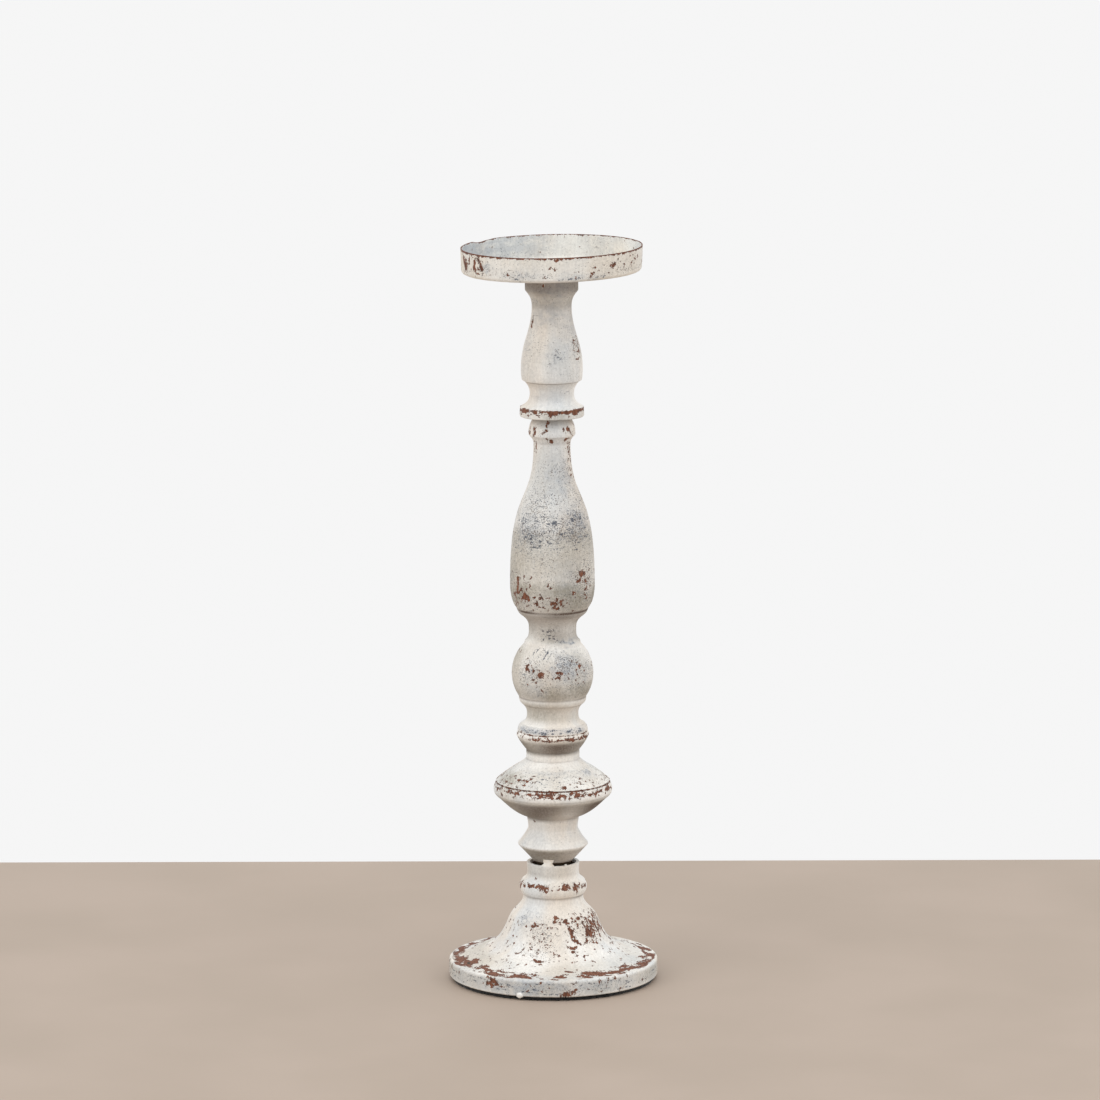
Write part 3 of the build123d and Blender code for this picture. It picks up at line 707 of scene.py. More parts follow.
# The greying bands on the foot's wall and on the foot's top by the bell are partly dirt, partly painted shade
# where these lie in shade.
for patch in [
    ("speck", 15, 44, 0.06, 201, 10),
    ("speck", 3, 11, 0.34, 203, 14),
    ("dirt_and_shade", 3, 11, 0.34, 205, 20, 1.5),
    ("dirt_and_shade", 11.6, 17.0, 0.30, 206, 20, 2),
    ("dirt_and_shade", 60, 67, 0.24, 207, 14, 2),
]:
    base.band(*patch)
base.cloud(
    "speck",
    [
        (-14, 31, 10, 11, 0.70), (-42, 38, 4, 6, 0.7), (-12, 21, 10, 5, 0.6), (30, 33, 8, 9, 0.6),
        (55, 30, 8, 9, 0.6), (-10, 8, 40, 5, 0.55), (150, 30, 12, 10, 0.8), (-130, 32, 10, 9, 0.7),
    ],
)
base.cloud(
    "film_and_shade",
    [
        (-14, 33, 8, 12, 0.12), (-40, 38, 4, 6, 0.40), (-15, 8, 40, 5, 0.60), (-8, 24, 14, 7, 0.08),
        (30, 8, 26, 4, 0.40), (140, 33, 12, 12, 0.4), (-140, 8, 40, 5, 0.5), (-100, 26, 9, 8, 0.35),
    ],
)
# The dark ring at 48.7 mm, just under the ring round the collar, is painted shade in that crease.
base.groove_grime_and_shade([(48.7, 0.8, 0.40), (collar_top - 5.2, 1.1, 0.06)])
base_piece = base.build("base_turned", wood_paint)
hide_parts("base")

# ------------------------------------------------------------------ main shaft
shaft_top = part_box("main_shaft")[1].z / MM
cone_foot = collar_top + 1.0
shaft = Turning("main_shaft", 520, 250, lambda r, z: (z > cone_foot + 0.2) & (r > 10))
bead_chips = [
    (-49, 314.7, 1.1, 3.0, 0), (-11, 319.7, 0.8, 1.8, 10), (-16, 315.9, 1.0, 0.9, 0),
    (32, 315.6, 1.1, 0.9, 0), (46, 316.7, 1.4, 1.0, 30), (52, 314.6, 0.9, 1.3, -20),
    (-57, 306.3, 0.5, 2.6, 0), (-3, 309.4, 0.8, 1.5, -15), (42, 310.1, 0.9, 1.0, 30),
    (75, 300.7, 0.5, 2.8, 0), (64, 289.8, 0.5, 0.5, 0),
]
bottle_chips = [
    (45, 235.3, 2.00, 1.75, 25), (39, 232.0, 1.12, 1.00, 0), (52, 231.3, 1.00, 1.75, -10),
    (52, 226.7, 1.00, 1.38, -25), (31, 225.4, 0.88, 0.88, 0), (51, 223.2, 0.62, 0.75, 0),
    (-6, 229.9, 0.75, 1.00, 0), (-2, 228.2, 0.75, 0.88, 0), (-55, 228.7, 0.88, 4.50, 0),
    (-48, 226.3, 0.75, 3.00, 35), (-42, 222.6, 2.00, 3.25, -25), (-36, 221.1, 1.50, 1.12, 0),
    (-62, 220.8, 0.62, 4.00, -20), (-24, 223.6, 0.88, 0.75, 0), (-22, 219.9, 0.50, 2.00, 0),
    (-14, 221.9, 0.50, 1.88, -20), (1, 219.8, 1.75, 0.88, 0), (7, 221.4, 1.00, 1.12, 30),
    (13, 219.5, 0.88, 2.00, -35), (8, 216.3, 0.88, 1.88, 0), (3, 217.8, 0.75, 1.00, 0),
    (34, 214.8, 0.75, 0.62, 0),
]
sphere_chips = [
    (-41, 181.1, 0.96, 2.04, -30), (-18, 178.8, 1.80, 1.44, -20), (11, 180.2, 1.80, 1.32, 15),
    (8, 177.2, 1.68, 0.72, 30), (43, 182.6, 0.84, 1.20, 30), (36, 181.1, 0.72, 0.60, 0),
    (50, 179.8, 0.60, 0.72, 0), (-16, 170.2, 0.72, 1.80, -25), (-31, 183.2, 0.72, 0.72, 0),
    (-28, 181.1, 0.72, 1.20, 0), (-24, 174.3, 0.72, 0.72, 0), (-29, 176.0, 0.60, 0.60, 0),
    (-21, 182.7, 0.48, 0.84, 0),
]
disc_chips = [
    (-43, 118.1, 1.5, 0.9, 10), (-34, 118.2, 1.6, 1.0, -10), (-28, 119.5, 1.0, 0.7, 25),
    (-53, 118.7, 0.7, 0.6, 0), (-60, 116.4, 0.8, 0.8, 0), (-66, 118.5, 0.7, 0.8, 30),
    (-33, 116.8, 1.0, 0.6, 0), (-41, 115.2, 1.5, 0.6, -10), (-26, 121.0, 0.7, 0.4, 0),
    (35, 119.3, 1.1, 0.6, -15), (41, 118.0, 0.8, 0.6, 20), (33, 116.9, 0.9, 0.8, 30),
    (24, 115.8, 0.7, 0.5, 0), (12, 115.9, 0.9, 0.8, 0), (70, 116.6, 0.8, 0.7, 0), (81, 116.3, 0.4, 0.8, 0),
    (48, 115.4, 0.5, 0.6, 0), (-65, 111.5, 1.3, 1.3, 0), (-59, 109.1, 0.6, 0.6, 0),
    (-38, 112.1, 1.5, 0.8, 25), (-24, 112.0, 2.0, 1.1, 0), (-14, 111.9, 2.8, 1.4, 0),
    (-4, 112.1, 2.8, 1.8, 0), (5, 111.5, 2.2, 1.7, -35), (13, 111.3, 2.2, 1.1, 10),
    (18, 112.6, 1.4, 1.0, 0), (24, 111.7, 1.8, 1.2, 15), (31, 111.7, 0.8, 1.5, -20),
    (39, 111.7, 1.7, 1.3, -20), (47, 111.4, 1.0, 1.8, 20), (72, 110.8, 0.8, 0.8, 0),
    (-48, 92.4, 0.6, 0.6, 0),
]
ring_edge_chips = [
    (-64, 143.5, 0.9, 0.7, 0), (-58, 141.2, 1.2, 0.8, 0), (-40, 140.6, 1.6, 0.8, 0),
    (-22, 140.6, 2.6, 0.7, 0), (13, 140.7, 2.6, 0.9, 0), (33, 140.7, 3.4, 0.9, 0),
    (53, 140.7, 2.4, 1.0, 0), (80, 140.5, 1.8, 1.3, 0),
]
for places in (bead_chips, bottle_chips, sphere_chips, disc_chips, ring_edge_chips):
    shaft.spots("chip", places)
shaft.spots(
    "mark",
    [
        (-10, 202.0, 1.9, 0.5, -32), (-6, 200.0, 1.2, 0.4, -20), (-8, 198.4, 1.4, 0.4, 15),
        (-26, 198.0, 0.4, 0.7, 20), (-10, 190.3, 0.4, 1.7, 22), (-30, 191.0, 0.35, 1.6, 22),
        (-14, 187.5, 0.3, 0.9, 30), (-17, 144.9, 2.3, 0.4, 0), (24, 145.6, 2.6, 0.35, 6),
        (44, 145.8, 1.6, 0.35, -20), (-16, 118.4, 1.7, 0.4, 30), (-10, 119.7, 1.5, 0.4, 25),
        (-1, 119.6, 1.0, 0.35, 20), (-8, 117.6, 0.9, 0.3, -35), (52, 111.4, 0.4, 1.1, 0),
        (58, 111.6, 0.4, 1.0, 20), (62, 121.6, 1.4, 0.35, 30),
    ],
)


def mostly(low, high, share=0.0):
    """1 outside a stretch of bearings and share within it."""
    return lambda bearing: np.where((bearing > low) & (bearing < high), share, 1.0)


shaft.edge(113.9, 0.50, 0.15, 41)
shaft.edge(111.8, 0.35, 1.1, 45, swell=0.5, only=mostly(-55, 55, 0.85))
shaft.edge(140.7, 0.15, 0.9, 49, swell=0.4, only=mostly(-10, 3, 0.8))
shaft.edge(143.0, 0.10, 0.25, 53)
# The darker bands here darken the undersides of the disc, ring and sphere, the bottle's foot and the neck below
# its lip, the cove under the sphere, the cone above the collar and the top under the flange: partly dirt,
# partly painted shade where these lie in shade.
for patch in [
    ("speck", 213, 300, 0.44, 211, 14, 8),
    ("speck", 250, 273, 0.58, 212, 16, 5),
    ("speck", 165, 191, 0.42, 213, 8, 3),
    ("speck", 195, 209, 0.20, 215, 8, 3),
    ("speck", 113, 125, 0.38, 217, 9, 2),
    ("speck", 300, 321, 0.22, 219, 8, 3),
    ("speck", 69, 76, 0.30, 221, 8, 2),
    ("dirt_and_shade", 214, 262, 0.48, 223, 18, 6),
    ("dirt_and_shade", 214, 231, 0.85, 224, 14, 8),
    ("speck", 214, 240, 0.52, 246, 14, 6),
    ("shade_and_grime", 214, 225, 0.18, 226, 14, 7),
    ("dirt_and_shade", 195, 208, 0.36, 228, 12, 2),
    ("shade_and_grime", 195, 209.5, 0.32, 238, 12, 3),
    ("shade_and_grime", 206, 213, 0.56, 239, 14, 2),
    ("dirt_and_shade", 262, 306, 0.20, 225, 18, 8),
    ("dirt_and_shade", 164, 192, 0.38, 227, 14, 3),
    ("dirt_and_shade", 163, 174, 0.70, 240, 14, 3),
    ("shade_and_grime", 163, 168, 0.15, 242, 14, 2),
    ("dirt_and_shade", 94, 107, 0.60, 229, 16, 2),
    ("shade_and_grime", 93, 105.5, 0.50, 230, 20, 1.5),
    ("dirt_and_shade", 113, 124, 0.22, 244, 14, 3),
    ("shade_and_grime", 131, 138.5, 0.55, 232, 20, 1.5),
    ("shade_and_grime", 67, 76.4, 0.34, 234, 20, 1),
    ("shade_and_grime", 318.5, 324, 0.30, 236, 12, 2),
    ("dirt_and_shade", 131, 139.5, 0.55, 231, 16, 1.5),
    ("dirt_and_shade", 68, 77, 0.50, 233, 16, 1),
    ("dirt_and_shade", 150, 162, 0.40, 235, 16, 3),
]:
    shaft.band(*patch)
for patch in [
    (214, 240, 70, 8, (0.35, 1.3)),
    (170, 190, 40, 9, (0.35, 1.2)),
    (312, 321, 22, 10, (0.4, 1.1), 62),
    (290, 310, 16, 11, (0.3, 0.7), 82),
    (115, 120, 34, 12, (0.4, 1.4), 84),
    (244, 286, 22, 13, (0.3, 0.6)),
    (84, 97, 6, 14, (0.3, 0.6)),
]:
    shaft.scatter(*patch)
shaft.cloud(
    "speck",
    [
        (-33, 258, 15, 9, 1.0), (-28, 268, 12, 8, 0.8), (42, 265, 12, 13, 1.0), (12, 258, 16, 8, 0.85),
        (30, 285, 6, 12, 0.45), (42, 297, 4, 9, 0.5), (5, 245, 20, 10, 0.35), (-35, 247, 12, 6, 0.65),
        (45, 228, 8, 8, 0.55), (-45, 224, 10, 8, 0.5), (-2, 233, 4, 8, 0.5), (20, 184, 10, 9, 0.95),
        (48, 180, 7, 8, 0.6), (-28, 180, 10, 8, 0.85), (-5, 191, 9, 4, 0.5), (38, 195.6, 5, 1.6, 0.9),
        (-8, 199.5, 4, 4, 0.5), (-38, 119, 9, 3, 0.6), (0, 120, 14, 3, 0.5), (60, 121, 5, 3, 0.7),
        (38, 118, 8, 3, 0.4), (-55, 71.5, 5, 4, 0.7), (-60, 78.5, 5, 3, 0.5), (125, 262, 20, 10, 0.75),
        (-150, 256, 22, 9, 0.75), (-100, 268, 9, 7, 0.7), (160, 181, 11, 9, 0.8), (-110, 180, 9, 7, 0.6),
        (110, 226, 9, 8, 0.5), (-160, 226, 12, 8, 0.5), (120, 119, 14, 4, 0.6), (-120, 119, 14, 4, 0.6),
    ],
)
shaft.cloud(
    "film_and_shade",
    [
        (-33, 260, 15, 9, 0.36), (45, 266, 13, 13, 0.46), (10, 262, 13, 13, 0.28), (33, 288, 6, 14, 0.45),
        (0, 290, 4, 18, 0.30), (22, 232, 9, 14, 0.30), (20, 183, 10, 9, 0.62), (48, 178, 7, 8, 0.35),
        (-24, 169, 6, 5, 0.35), (40, 195.8, 5, 1.8, 0.85), (-26, 179, 7, 7, 0.25),
        (-5, 122.2, 26, 1.2, 0.30), (60, 121, 5, 3, 0.5), (0, 318, 6, 4, 0.25), (125, 262, 17, 10, 0.3),
        (-150, 256, 18, 9, 0.3), (-100, 268, 9, 7, 0.4), (160, 181, 11, 9, 0.5), (-110, 180, 9, 7, 0.3),
    ],
)
shaft.cloud("dirt_and_shade", [(-62, 118, 16, 6, 0.85), (-50, 112, 12, 4, 0.5), (50, 118, 12, 4, 0.3)])
shaft.edge(145.6, -0.2, 1.2, 57, name="mark", only=mostly(-180, 180, 0.42))
for patch in [
    ("chip", (-72, -30), (215, 236), 60, 131, (0.18, 0.4), (0.25, 1.0)),
    ("chip", (34, 64), (219, 238), 36, 133, (0.18, 0.36), (0.18, 0.5)),
    ("chip", (-30, 32), (214.5, 223), 30, 135, (0.16, 0.34), (0.2, 0.7)),
    ("chip", (75, 285), (215, 236), 200, 137, (0.2, 0.5), (0.25, 0.9)),
    ("chip", (-48, 56), (171, 187), 60, 139, (0.16, 0.32), (0.16, 0.36)),
    ("chip", (75, 285), (171, 187), 120, 141),
    ("chip", (-80, -18), (114.8, 120), 50, 143, (0.2, 0.4), (0.2, 0.4)),
    ("chip", (18, 84), (114.8, 119), 30, 145, (0.2, 0.4), (0.2, 0.4)),
    ("chip", (84, 276), (114.8, 120.5), 150, 147),
    ("chip", (-180, 180), (109.6, 113.4), 220, 149, (0.22, 0.6), (0.22, 0.6)),
    ("chip", (-180, 180), (139.9, 142.0), 120, 151, (0.25, 0.8), (0.2, 0.5)),
    ("chip", (-70, 70), (305, 319), 20, 153, (0.16, 0.32), (0.2, 0.5)),
    ("chip", (70, 290), (300, 321), 110, 155, (0.2, 0.45), (0.2, 0.8)),
    ("chip", (55, 80), (288, 308), 30, 157, (0.2, 0.35), (0.3, 1.0)),
    ("mark", (-72, 75), (249, 270), 170, 159, (0.25, 1.2), (0.12, 0.22), 14),
    ("mark", (-60, 75), (264, 266), 22, 161, (0.8, 2.6), (0.12, 0.22), 3),
    ("mark", (-25, 12), (196, 204), 18, 163, (0.3, 1.1), (0.15, 0.3), 40),
    ("mark", (-40, 0), (184, 193), 18, 165, (0.16, 0.28), (0.4, 1.3), 30),
    ("mark", (-60, 60), (144, 147), 40, 167, (0.4, 2.0), (0.14, 0.3), 12),
    ("mark", (-30, 10), (116, 121), 22, 169, (0.3, 1.2), (0.14, 0.28), 35),
    ("mark", (90, 270), (250, 272), 170, 171, (0.25, 1.2), (0.12, 0.22), 14),
    ("mark", (90, 270), (144, 147), 40, 173, (0.4, 2.0), (0.14, 0.3), 12),
]:
    shaft.sprinkle(*patch)
ring_band = np.exp(-(((shaft.z - 145.4) / 1.7) ** 2)) * (shaft.r > 17.6)
round_ring = 0.62 + 0.38 * waves(shaft.points, 14, 61)
shaft.fields["film_and_shade"] = np.maximum(shaft.fields["film_and_shade"], ring_band * np.clip(round_ring, 0.15, 1) * 0.75)
shaft.fields["speck"] = np.maximum(shaft.fields["speck"], ring_band * np.clip(round_ring, 0.1, 1) * 0.8)
# Dark rings: grime in the turned grooves, and painted shade under the bottle's lip, under the sphere and the
# disc, under the flange at the top and where the cone meets the collar.
shaft.groove_grime_and_shade(
    [
        (213.2, 1.0, 0.85), (209.6, 0.5, 0.30), (162.9, 0.60, 0.45), (158.6, 0.5, 0.42),
        (192.9, 0.7, 0.10), (132.0, 0.5, 0.30), (127.2, 0.45, 0.22), (113.9, 0.55, 0.35),
        (107.4, 0.5, 0.22), (94.6, 1.1, 0.38), (308.0, 0.9, 0.20), (shaft_top - 0.6, 1.2, 0.65),
        (cone_foot + 0.8, 0.9, 0.55), (77.8, 0.35, 0.10), (147.3, 0.5, 0.12),
    ]
)
shaft_piece = shaft.build("shaft_turned", wood_paint, strips=2)
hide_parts("main_shaft")

# ------------------------------------------------------------------ upper spindle
spindle_low, spindle_high = (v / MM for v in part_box("upper_spindle"))
spindle = Turning(
    "upper_spindle",
    300,
    220,
    lambda r, z: (r > 10) & (z < spindle_high.z - 0.05) | (r > 14) & (z > spindle_low.z),
)
spindle.spots(
    "chip",
    [
        (-65, 376.8, 0.6, 2.2, 0), (-65, 374.0, 0.5, 1.2, 0), (73, 364.0, 0.5, 0.9, 0),
        (68, 361.4, 0.5, 1.2, 20), (66, 359.4, 0.5, 0.9, -20), (55, 366.5, 0.5, 0.5, 0),
        (57, 364.3, 0.4, 0.7, 30), (-3, 326.4, 1.9, 1.7, 0), (-3, 325.2, 0.9, 1.3, 0),
        (-6, 327.4, 3.0, 1.0, 0), (-57, 327.2, 2.4, 1.3, 0), (-30, 327.4, 1.6, 0.9, 0),
        (28, 327.6, 1.4, 0.8, 0), (46, 327.5, 2.2, 1.1, 0), (-18, 397.8, 0.6, 0.6, 0),
    ],
)
spindle.edge(326.9, 1.15, 0.45, 65, swell=0.15)
# Painted shadow: the collar right under the pan is darkened where the pan shades it.
spindle.band("shade_and_grime", 393, 408, 0.50, 242, 16, 4)
spindle.band("dirt_and_shade", 322, 327, 0.30, 248, 12, 1)
for patch in [
    ("chip", (-180, 180), (324, 328), 90, 175, (0.2, 0.6), (0.2, 0.5)),
    ("chip", (50, 80), (356, 368), 24, 177, (0.2, 0.4), (0.2, 0.7)),
    ("chip", (100, 260), (345, 385), 80, 179, (0.2, 0.4), (0.2, 0.7)),
]:
    spindle.sprinkle(*patch)
for patch in [
    ("speck", 342, 384, 0.20, 241, 9, 3),
    ("speck", 384, 404, 0.25, 243, 9, 3),
    ("dirt_and_shade", 342, 384, 0.14, 245, 13, 5),
    # The band just under the pan is partly dirt, partly painted shadow of the pan.
    ("dirt_and_shade", 384, 404, 0.40, 247, 13, 3),
]:
    spindle.band(*patch)
spindle.scatter(345, 385, 20, 15, (0.3, 0.8), 80)
spindle.scatter(324, 327, 12, 16, (0.4, 1.2), 70)
spindle.cloud(
    "speck",
    [
        (60, 364, 5, 10, 0.75), (10, 358, 5, 6, 0.75), (30, 372, 5, 12, 0.4), (-25, 398, 8, 3, 0.6),
        (40, 338, 6, 4, 0.4), (150, 360, 8, 12, 0.7), (-120, 355, 8, 9, 0.5),
    ],
)
spindle.cloud(
    "film_and_shade",
    [
        (-5, 382, 9, 8, 0.45), (0, 396, 14, 6, 0.55), (40, 372, 7, 16, 0.30), (10, 358, 5, 7, 0.30),
        (70, 375, 5, 14, 0.4), (-70, 360, 4, 16, 0.25), (0, 334, 15, 5, 0.22), (150, 360, 9, 14, 0.45),
        (-140, 390, 12, 8, 0.4),
    ],
)
# The strong ring just under the pan is painted shadow of the pan; the others darken grooves.
spindle.groove_grime_and_shade([(342.6, 0.45, 0.50), (385.5, 3.0, 0.14), (403.9, 1.3, 0.60), (335.0, 2.0, 0.08)])
spindle_piece = spindle.build("spindle_turned", wood_paint)
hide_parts("upper_spindle")

# ------------------------------------------------------------------ candle pan
pan_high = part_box("candle_pan")[1] / MM
rim_level, pan_reach = pan_high.z, pan_high.x
pan = Turning("candle_pan", 300, 420, lambda r, z: r > 4.6, soften=0.10, corner=0.5)
pan.spots(
    "chip",
    [
        (-70, 411.0, 2.56, 3.81, 15), (-74, 414.2, 1.22, 2.91, -25), (-64, 414.6, 1.22, 3.14, 20),
        (-57, 412.6, 1.49, 4.70, 0), (-53, 415.6, 1.62, 1.79, -20), (-50, 412.2, 1.22, 3.81, 0),
        (-54, 408.4, 2.56, 0.90, 10), (-58, 416.9, 2.16, 0.56, 0), (-29, 409.5, 0.5, 0.8, 0),
        (-1, 413.0, 0.6, 0.7, 0), (2, 413.3, 0.8, 0.6, -20), (3, 417.9, 1.8, 0.8, 0),
        (27, 409.6, 0.8, 0.5, 20), (26, 408.0, 0.7, 0.5, 20), (28, 412.1, 0.5, 0.4, 0),
        (43, 412.9, 1.4, 2.2, 15), (49, 414.3, 0.7, 0.4, 0), (52, 408.0, 0.5, 0.5, 0),
        (57, 408.2, 0.4, 0.5, 0), (62, 412.2, 0.6, 0.9, 0), (67, 414.2, 0.5, 1.2, 10),
    ],
    radius=50.8,
)
pan_marks = [
    (14, 406.9, 6.0, 0.35, 0), (30, 406.9, 3.4, 0.35, 0), (-25, 407.2, 2.6, 0.3, 0), (66, 416.4, 2.0, 0.35, 0),
]
pan.spots("mark", pan_marks, radius=50.6)
pan.scatter(408, 417, 44, 17, (0.4, 1.6), 80, 50.8)
rim_wear = 0.70 + 0.12 * waves(pan.points, 5, 71) + 0.08 * waves(pan.points, 1.8, 72)
outside = pan.r > pan_reach - 0.45
rim_wear = np.where(outside, rim_wear + 0.25, rim_wear - 0.25)
pan.band("speck", 407, 419, 0.24, 251, 12, 1, 49)
pan.band("speck", 407, 410.5, 0.38, 253, 14, 1, 49)
for patch in [
    ("chip", (34, 72), (408, 417), 34, 181, (0.16, 0.36), (0.16, 0.4), 35, 50.8),
    ("chip", (-45, 35), (407.5, 411), 18, 183, (0.16, 0.3), (0.16, 0.3), 35, 50.8),
    ("chip", (-80, -46), (407.5, 417), 24, 185, (0.18, 0.36), (0.2, 0.5), 35, 50.8),
    ("chip", (80, 280), (407.5, 417), 150, 187, (0.2, 0.5), (0.2, 0.6), 35, 50.8),
    ("chip", (-180, 180), (407.5, 418), 50, 189, (0.14, 0.28), (0.14, 0.3), 35, pan_reach - 1.6),
]:
    pan.sprinkle(*patch)
pan.band("dirt_and_shade", 406, 419, 0.10, 255, 18, 1, 49)
pan.fields["chip"] = np.maximum(pan.fields["chip"], (rim_wear - (rim_level - pan.z)) * 1.2)
pan_specks = [(48, 412, 12, 6, 0.55), (-20, 409, 12, 3, 0.5), (25, 409, 9, 3, 0.5), (-45, 413, 4, 3, 0.9)]
pan_film = [(-46, 412.8, 4.5, 2.2, 0.5), (20, 408, 16, 2, 0.35), (-20, 409, 12, 3, 0.3), (130, 412, 40, 6, 0.3)]
pan.cloud("speck", pan_specks, radius=50.8)
pan.cloud("film_and_shade", pan_film, radius=50.8)
facing_in = (pan.outward[:, 1] > 0.3) | (pan.outward[:, 0] < -0.3)
inner = (pan.r < pan_reach - 0.6) & facing_in[:, None]
# Painted shade: the pan's inner wall is tinted blue-grey, most on its left half, where it lies in shade.
sideways = np.sin(pan.bearing)[None, :]
shaded = np.clip(0.34 - 0.32 * sideways + 0.1 * waves(pan.points, 20, 73), 0, 0.8)
pan.fields["film_and_shade"] = np.where(inner, shaded, pan.fields["film_and_shade"])
# Painted shade: a faint dark ring on the dish where it sits on the spindle's top.
pan.groove_grime_and_shade([(spindle_high.z + 0.1, 0.5, 0.12)])
droop = math.tan(math.radians(1.0))


def tilted(places, r):
    """Leans the dish to one side about the collar it sits on, and bruises its rim at the back left."""
    share = smooth_step(r, 15.4, 30)
    lowered = places.copy()
    lowered[..., 2] -= droop * (pan_reach - places[..., 0]) * share
    turn = np.degrees(np.arctan2(places[..., 0], -places[..., 1]))
    bruise = smooth_step(turn, -141, -134) * (1 - smooth_step(turn, -122, -118))
    ripple = 1 + 0.35 * np.sin(np.radians(turn * 22))
    lowered[..., 2] -= 0.75 * bruise * ripple * smooth_step(places[..., 2], rim_level - 7, rim_level)
    nearly_round = 1 - 0.003 * share * (1 + np.cos(np.radians(2 * (turn - 30))))
    lowered[..., :2] *= nearly_round[..., None]
    return lowered


pan_piece = pan.build("pan_pressed", steel_paint, move=tilted, wave=0.06)
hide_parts("candle_pan")

# ------------------------------------------------------------------ felt, filler and glue bead
felt = Turning("felt_pad", 130, 420, lambda r, z: r > -1, soften=0.3)
edge_share = smooth_step(felt.r, 50, 57)
felt_edge = 0.25 + 0.22 * waves(felt.points, 3, 81) + 0.2 * waves(felt.points, 1.2, 82)
felt.sink = edge_share * felt_edge.clip(0, 1)
felt_piece = felt.build("felt_disc", felt_black, wave=0.02)
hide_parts("felt_pad")


def bridge():
    """The drip of filler and paint that joins the front of the collar to the cone above it."""
    columns, around = 48, 44
    section = np.array(
        [
            (12.6, 66.4), (13.6, 66.7), (14.5, 66.5), (14.85, 66.9), (14.6, 67.5), (14.0, 68.2), (13.7, 68.9),
            (13.6, 69.6), (13.75, 70.3), (13.95, 70.8), (13.6, 70.9), (13.1, 70.5), (12.4, 69.8), (11.9, 68.8),
            (12.0, 67.4),
        ]
    )
    closed = np.vstack([section, section[:1]])
    gaps = np.concatenate([[0], np.cumsum(np.linalg.norm(np.diff(closed, axis=0), axis=1))])
    at = np.linspace(0, gaps[-1], around, endpoint=False)
    loop = np.stack([np.interp(at, gaps, closed[:, i]) for i in (0, 1)], 1)
    loop = softened(loop, 0.35, gaps[-1] / around, True)
    levels = [66.4, 67.0, 68.0, 69.2, 70.4, 71.4, 72.6]
    half = np.interp(loop[:, 1], levels, [17.0, 15.0, 12.5, 11.8, 14.0, 15.0, 12.0])
    half *= 1 + 0.10 * np.sin(loop[:, 1] * 3.1)
    middle = np.interp(loop[:, 1], [66.4, 68.3, 73.2], [-14, -13, -10])
    core = np.stack([np.interp(loop[:, 1], [66.4, 68.5, 70, 73.2], [13.4, 12.9, 13.2, 15.8]), loop[:, 1]], 1)
    points = []
    for side in np.sin(np.linspace(-math.pi / 2, math.pi / 2, columns)):
        thin = math.sqrt(max(1 - side**2, 0.0004))
        spread = core + (loop - core) * thin
        bearing = np.radians(middle + half * side)
        r, z = spread.T
        points.append(np.stack([r * np.sin(bearing), -r * np.cos(bearing), z], 1))
    points = np.array(points)
    points += 0.16 * waves(points, 2.2, 91)[..., None] * np.array([math.sin(-0.2), -math.cos(-0.2), 0.2])
    faces = [
        (a + m, a + (m + 1) % around, a + around + (m + 1) % around, a + around + m)
        for a in range(0, (columns - 1) * around, around)
        for m in range(around)
    ]
    faces += [tuple(range(around))[::-1], tuple((columns - 1) * around + m for m in range(around))]
    piece = place("filler_bridge", points.reshape(-1, 3) * MM, faces, filler_paint)
    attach(piece, "root")
    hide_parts("joint_filler")


def bead_of_glue(name, bearing, radius, height, size, seed):
    """A dried drop of glue, a little flattened and uneven."""
    turns, rings = 26, 16
    polar = np.linspace(0.04, math.pi - 0.04, rings)
    round_ = np.linspace(0, 2 * math.pi, turns, endpoint=False)
    grid = np.array(
        [[(math.sin(p) * math.cos(q), math.sin(p) * math.sin(q), math.cos(p)) for q in round_] for p in polar]
    )
    grid *= (1 + 0.07 * waves(grid * 3, 1.6, seed))[..., None] * np.array(size)
    turn = math.radians(bearing)
    x = grid[..., 0] * math.cos(turn) - grid[..., 1] * math.sin(turn) + radius * math.sin(turn)
    y = grid[..., 0] * math.sin(turn) + grid[..., 1] * math.cos(turn) - radius * math.cos(turn)
    places = np.stack([x, y, grid[..., 2] + height], -1).reshape(-1, 3)
    faces = [
        (p * turns + q, (p + 1) * turns + q, (p + 1) * turns + (q + 1) % turns, p * turns + (q + 1) % turns)
        for p in range(rings - 1)
        for q in range(turns)
    ]
    faces += [tuple(range(turns)), tuple((rings - 1) * turns + q for q in range(turns))[::-1]]
    piece = place(name, places * MM, faces, glue)
    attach(piece, "root")


bridge()
bead_of_glue("glue_bead", -18.8, 58.6, 2.9, (2.0, 1.5, 1.75), 95)
# A small white drop of glue in the joint's gap at the right; its white stands for a glint there, a painted
# highlight.
bead_of_glue("glue_glint", 34, 12.6, 67.2, (0.8, 0.5, 0.45), 96)

for node, material in {"base_screw": zinc, "pan_screw": zinc, "upper_dowel": beech}.items():
    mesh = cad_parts[node].data
    mesh.materials.clear()
    mesh.materials.append(material)

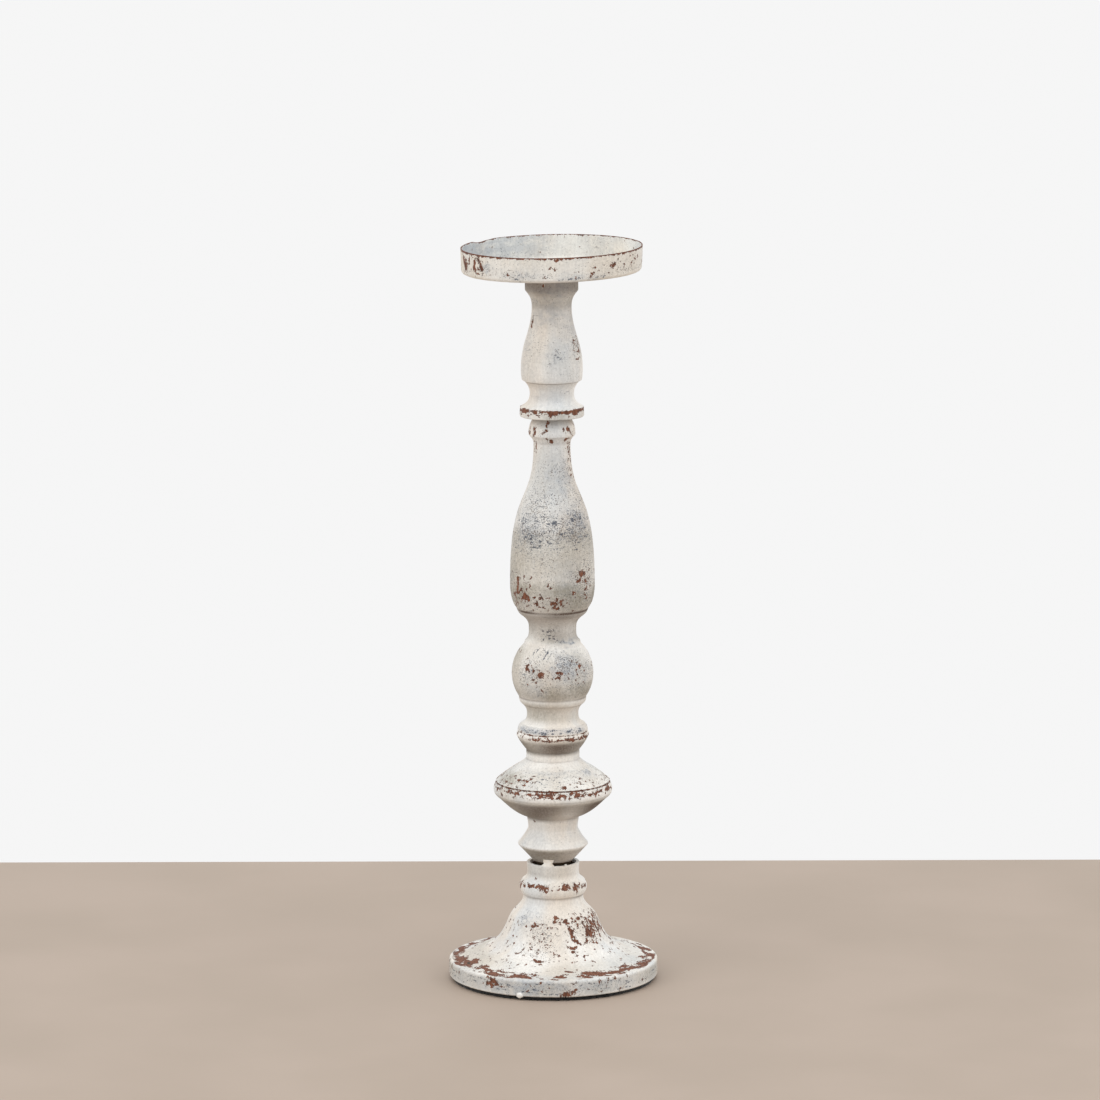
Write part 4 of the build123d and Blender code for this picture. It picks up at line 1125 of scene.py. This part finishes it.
# ------------------------------------------------------------------ floor, light and camera
n = Nodes("floor_paint")
floor_tone = n.noise(60, 3)
floor_material = n.finish(
    n.mix(n.ramp(floor_tone, 0.3, 0.7), srgb(174, 158, 143), srgb(181, 165, 151)),
    n.ramp(floor_tone, 0.3, 0.7, 0.6, 0.7),
    n.noise(2, 2),
    0.05,
)


def slab(name, low, high, material):
    """A plain block between two corners."""
    corners = [(x, y, z) for x in (low[0], high[0]) for y in (low[1], high[1]) for z in (low[2], high[2])]
    faces = [(0, 1, 3, 2), (4, 6, 7, 5), (0, 4, 5, 1), (2, 3, 7, 6), (0, 2, 6, 4), (1, 5, 7, 3)]
    place(name, corners, faces, material, smooth=False)


slab("floor", (-3, -3, -0.04), (3, 0.29, 0), floor_material)


def area_light(name, place, target, size, power, colour=(1, 1, 1)):
    data = bpy.data.lights.new(name, "AREA")
    data.shape = "RECTANGLE"
    data.size, data.size_y = size
    data.energy = power
    data.color = colour
    lamp = bpy.data.objects.new(name, data)
    lamp.location = place
    lamp.rotation_euler = (Vector(target) - Vector(place)).to_track_quat("-Z", "Y").to_euler()
    bpy.context.scene.collection.objects.link(lamp)


area_light("overhead", (-0.3, -0.7, 2.6), (0, 0, 0.2), (2.0, 2.0), 8)
area_light("window", (-2.0, -1.6, 1.9), (0, 0, 0.25), (1.6, 1.6), 14, (1.0, 0.995, 0.985))
area_light("fill", (2.1, -1.2, 1.9), (0, 0, 0.25), (1.6, 1.6), 12, (0.985, 0.995, 1.0))
world = bpy.data.worlds.new("studio")
world.use_nodes = True
world.node_tree.nodes["Background"].inputs[0].default_value = (1.0, 1.0, 1.0, 1.0)
world.node_tree.nodes["Background"].inputs[1].default_value = 0.92
bpy.context.scene.world = world
bpy.context.scene.view_settings.view_transform = "Standard"

view = bpy.data.cameras.new("camera")
view.sensor_width = 36
view.lens = 214.4
camera = bpy.data.objects.new("camera", view)
camera.location = (-0.00129, -3.620, 0.904)
camera.rotation_mode = "ZYX"
camera.rotation_euler = (math.radians(79.7), 0, 0)
camera.rotation_mode = "QUATERNION"
camera.rotation_quaternion = camera.rotation_quaternion @ Quaternion((0, 0, 1), math.radians(-0.15))
bpy.context.scene.collection.objects.link(camera)
bpy.context.scene.camera = camera
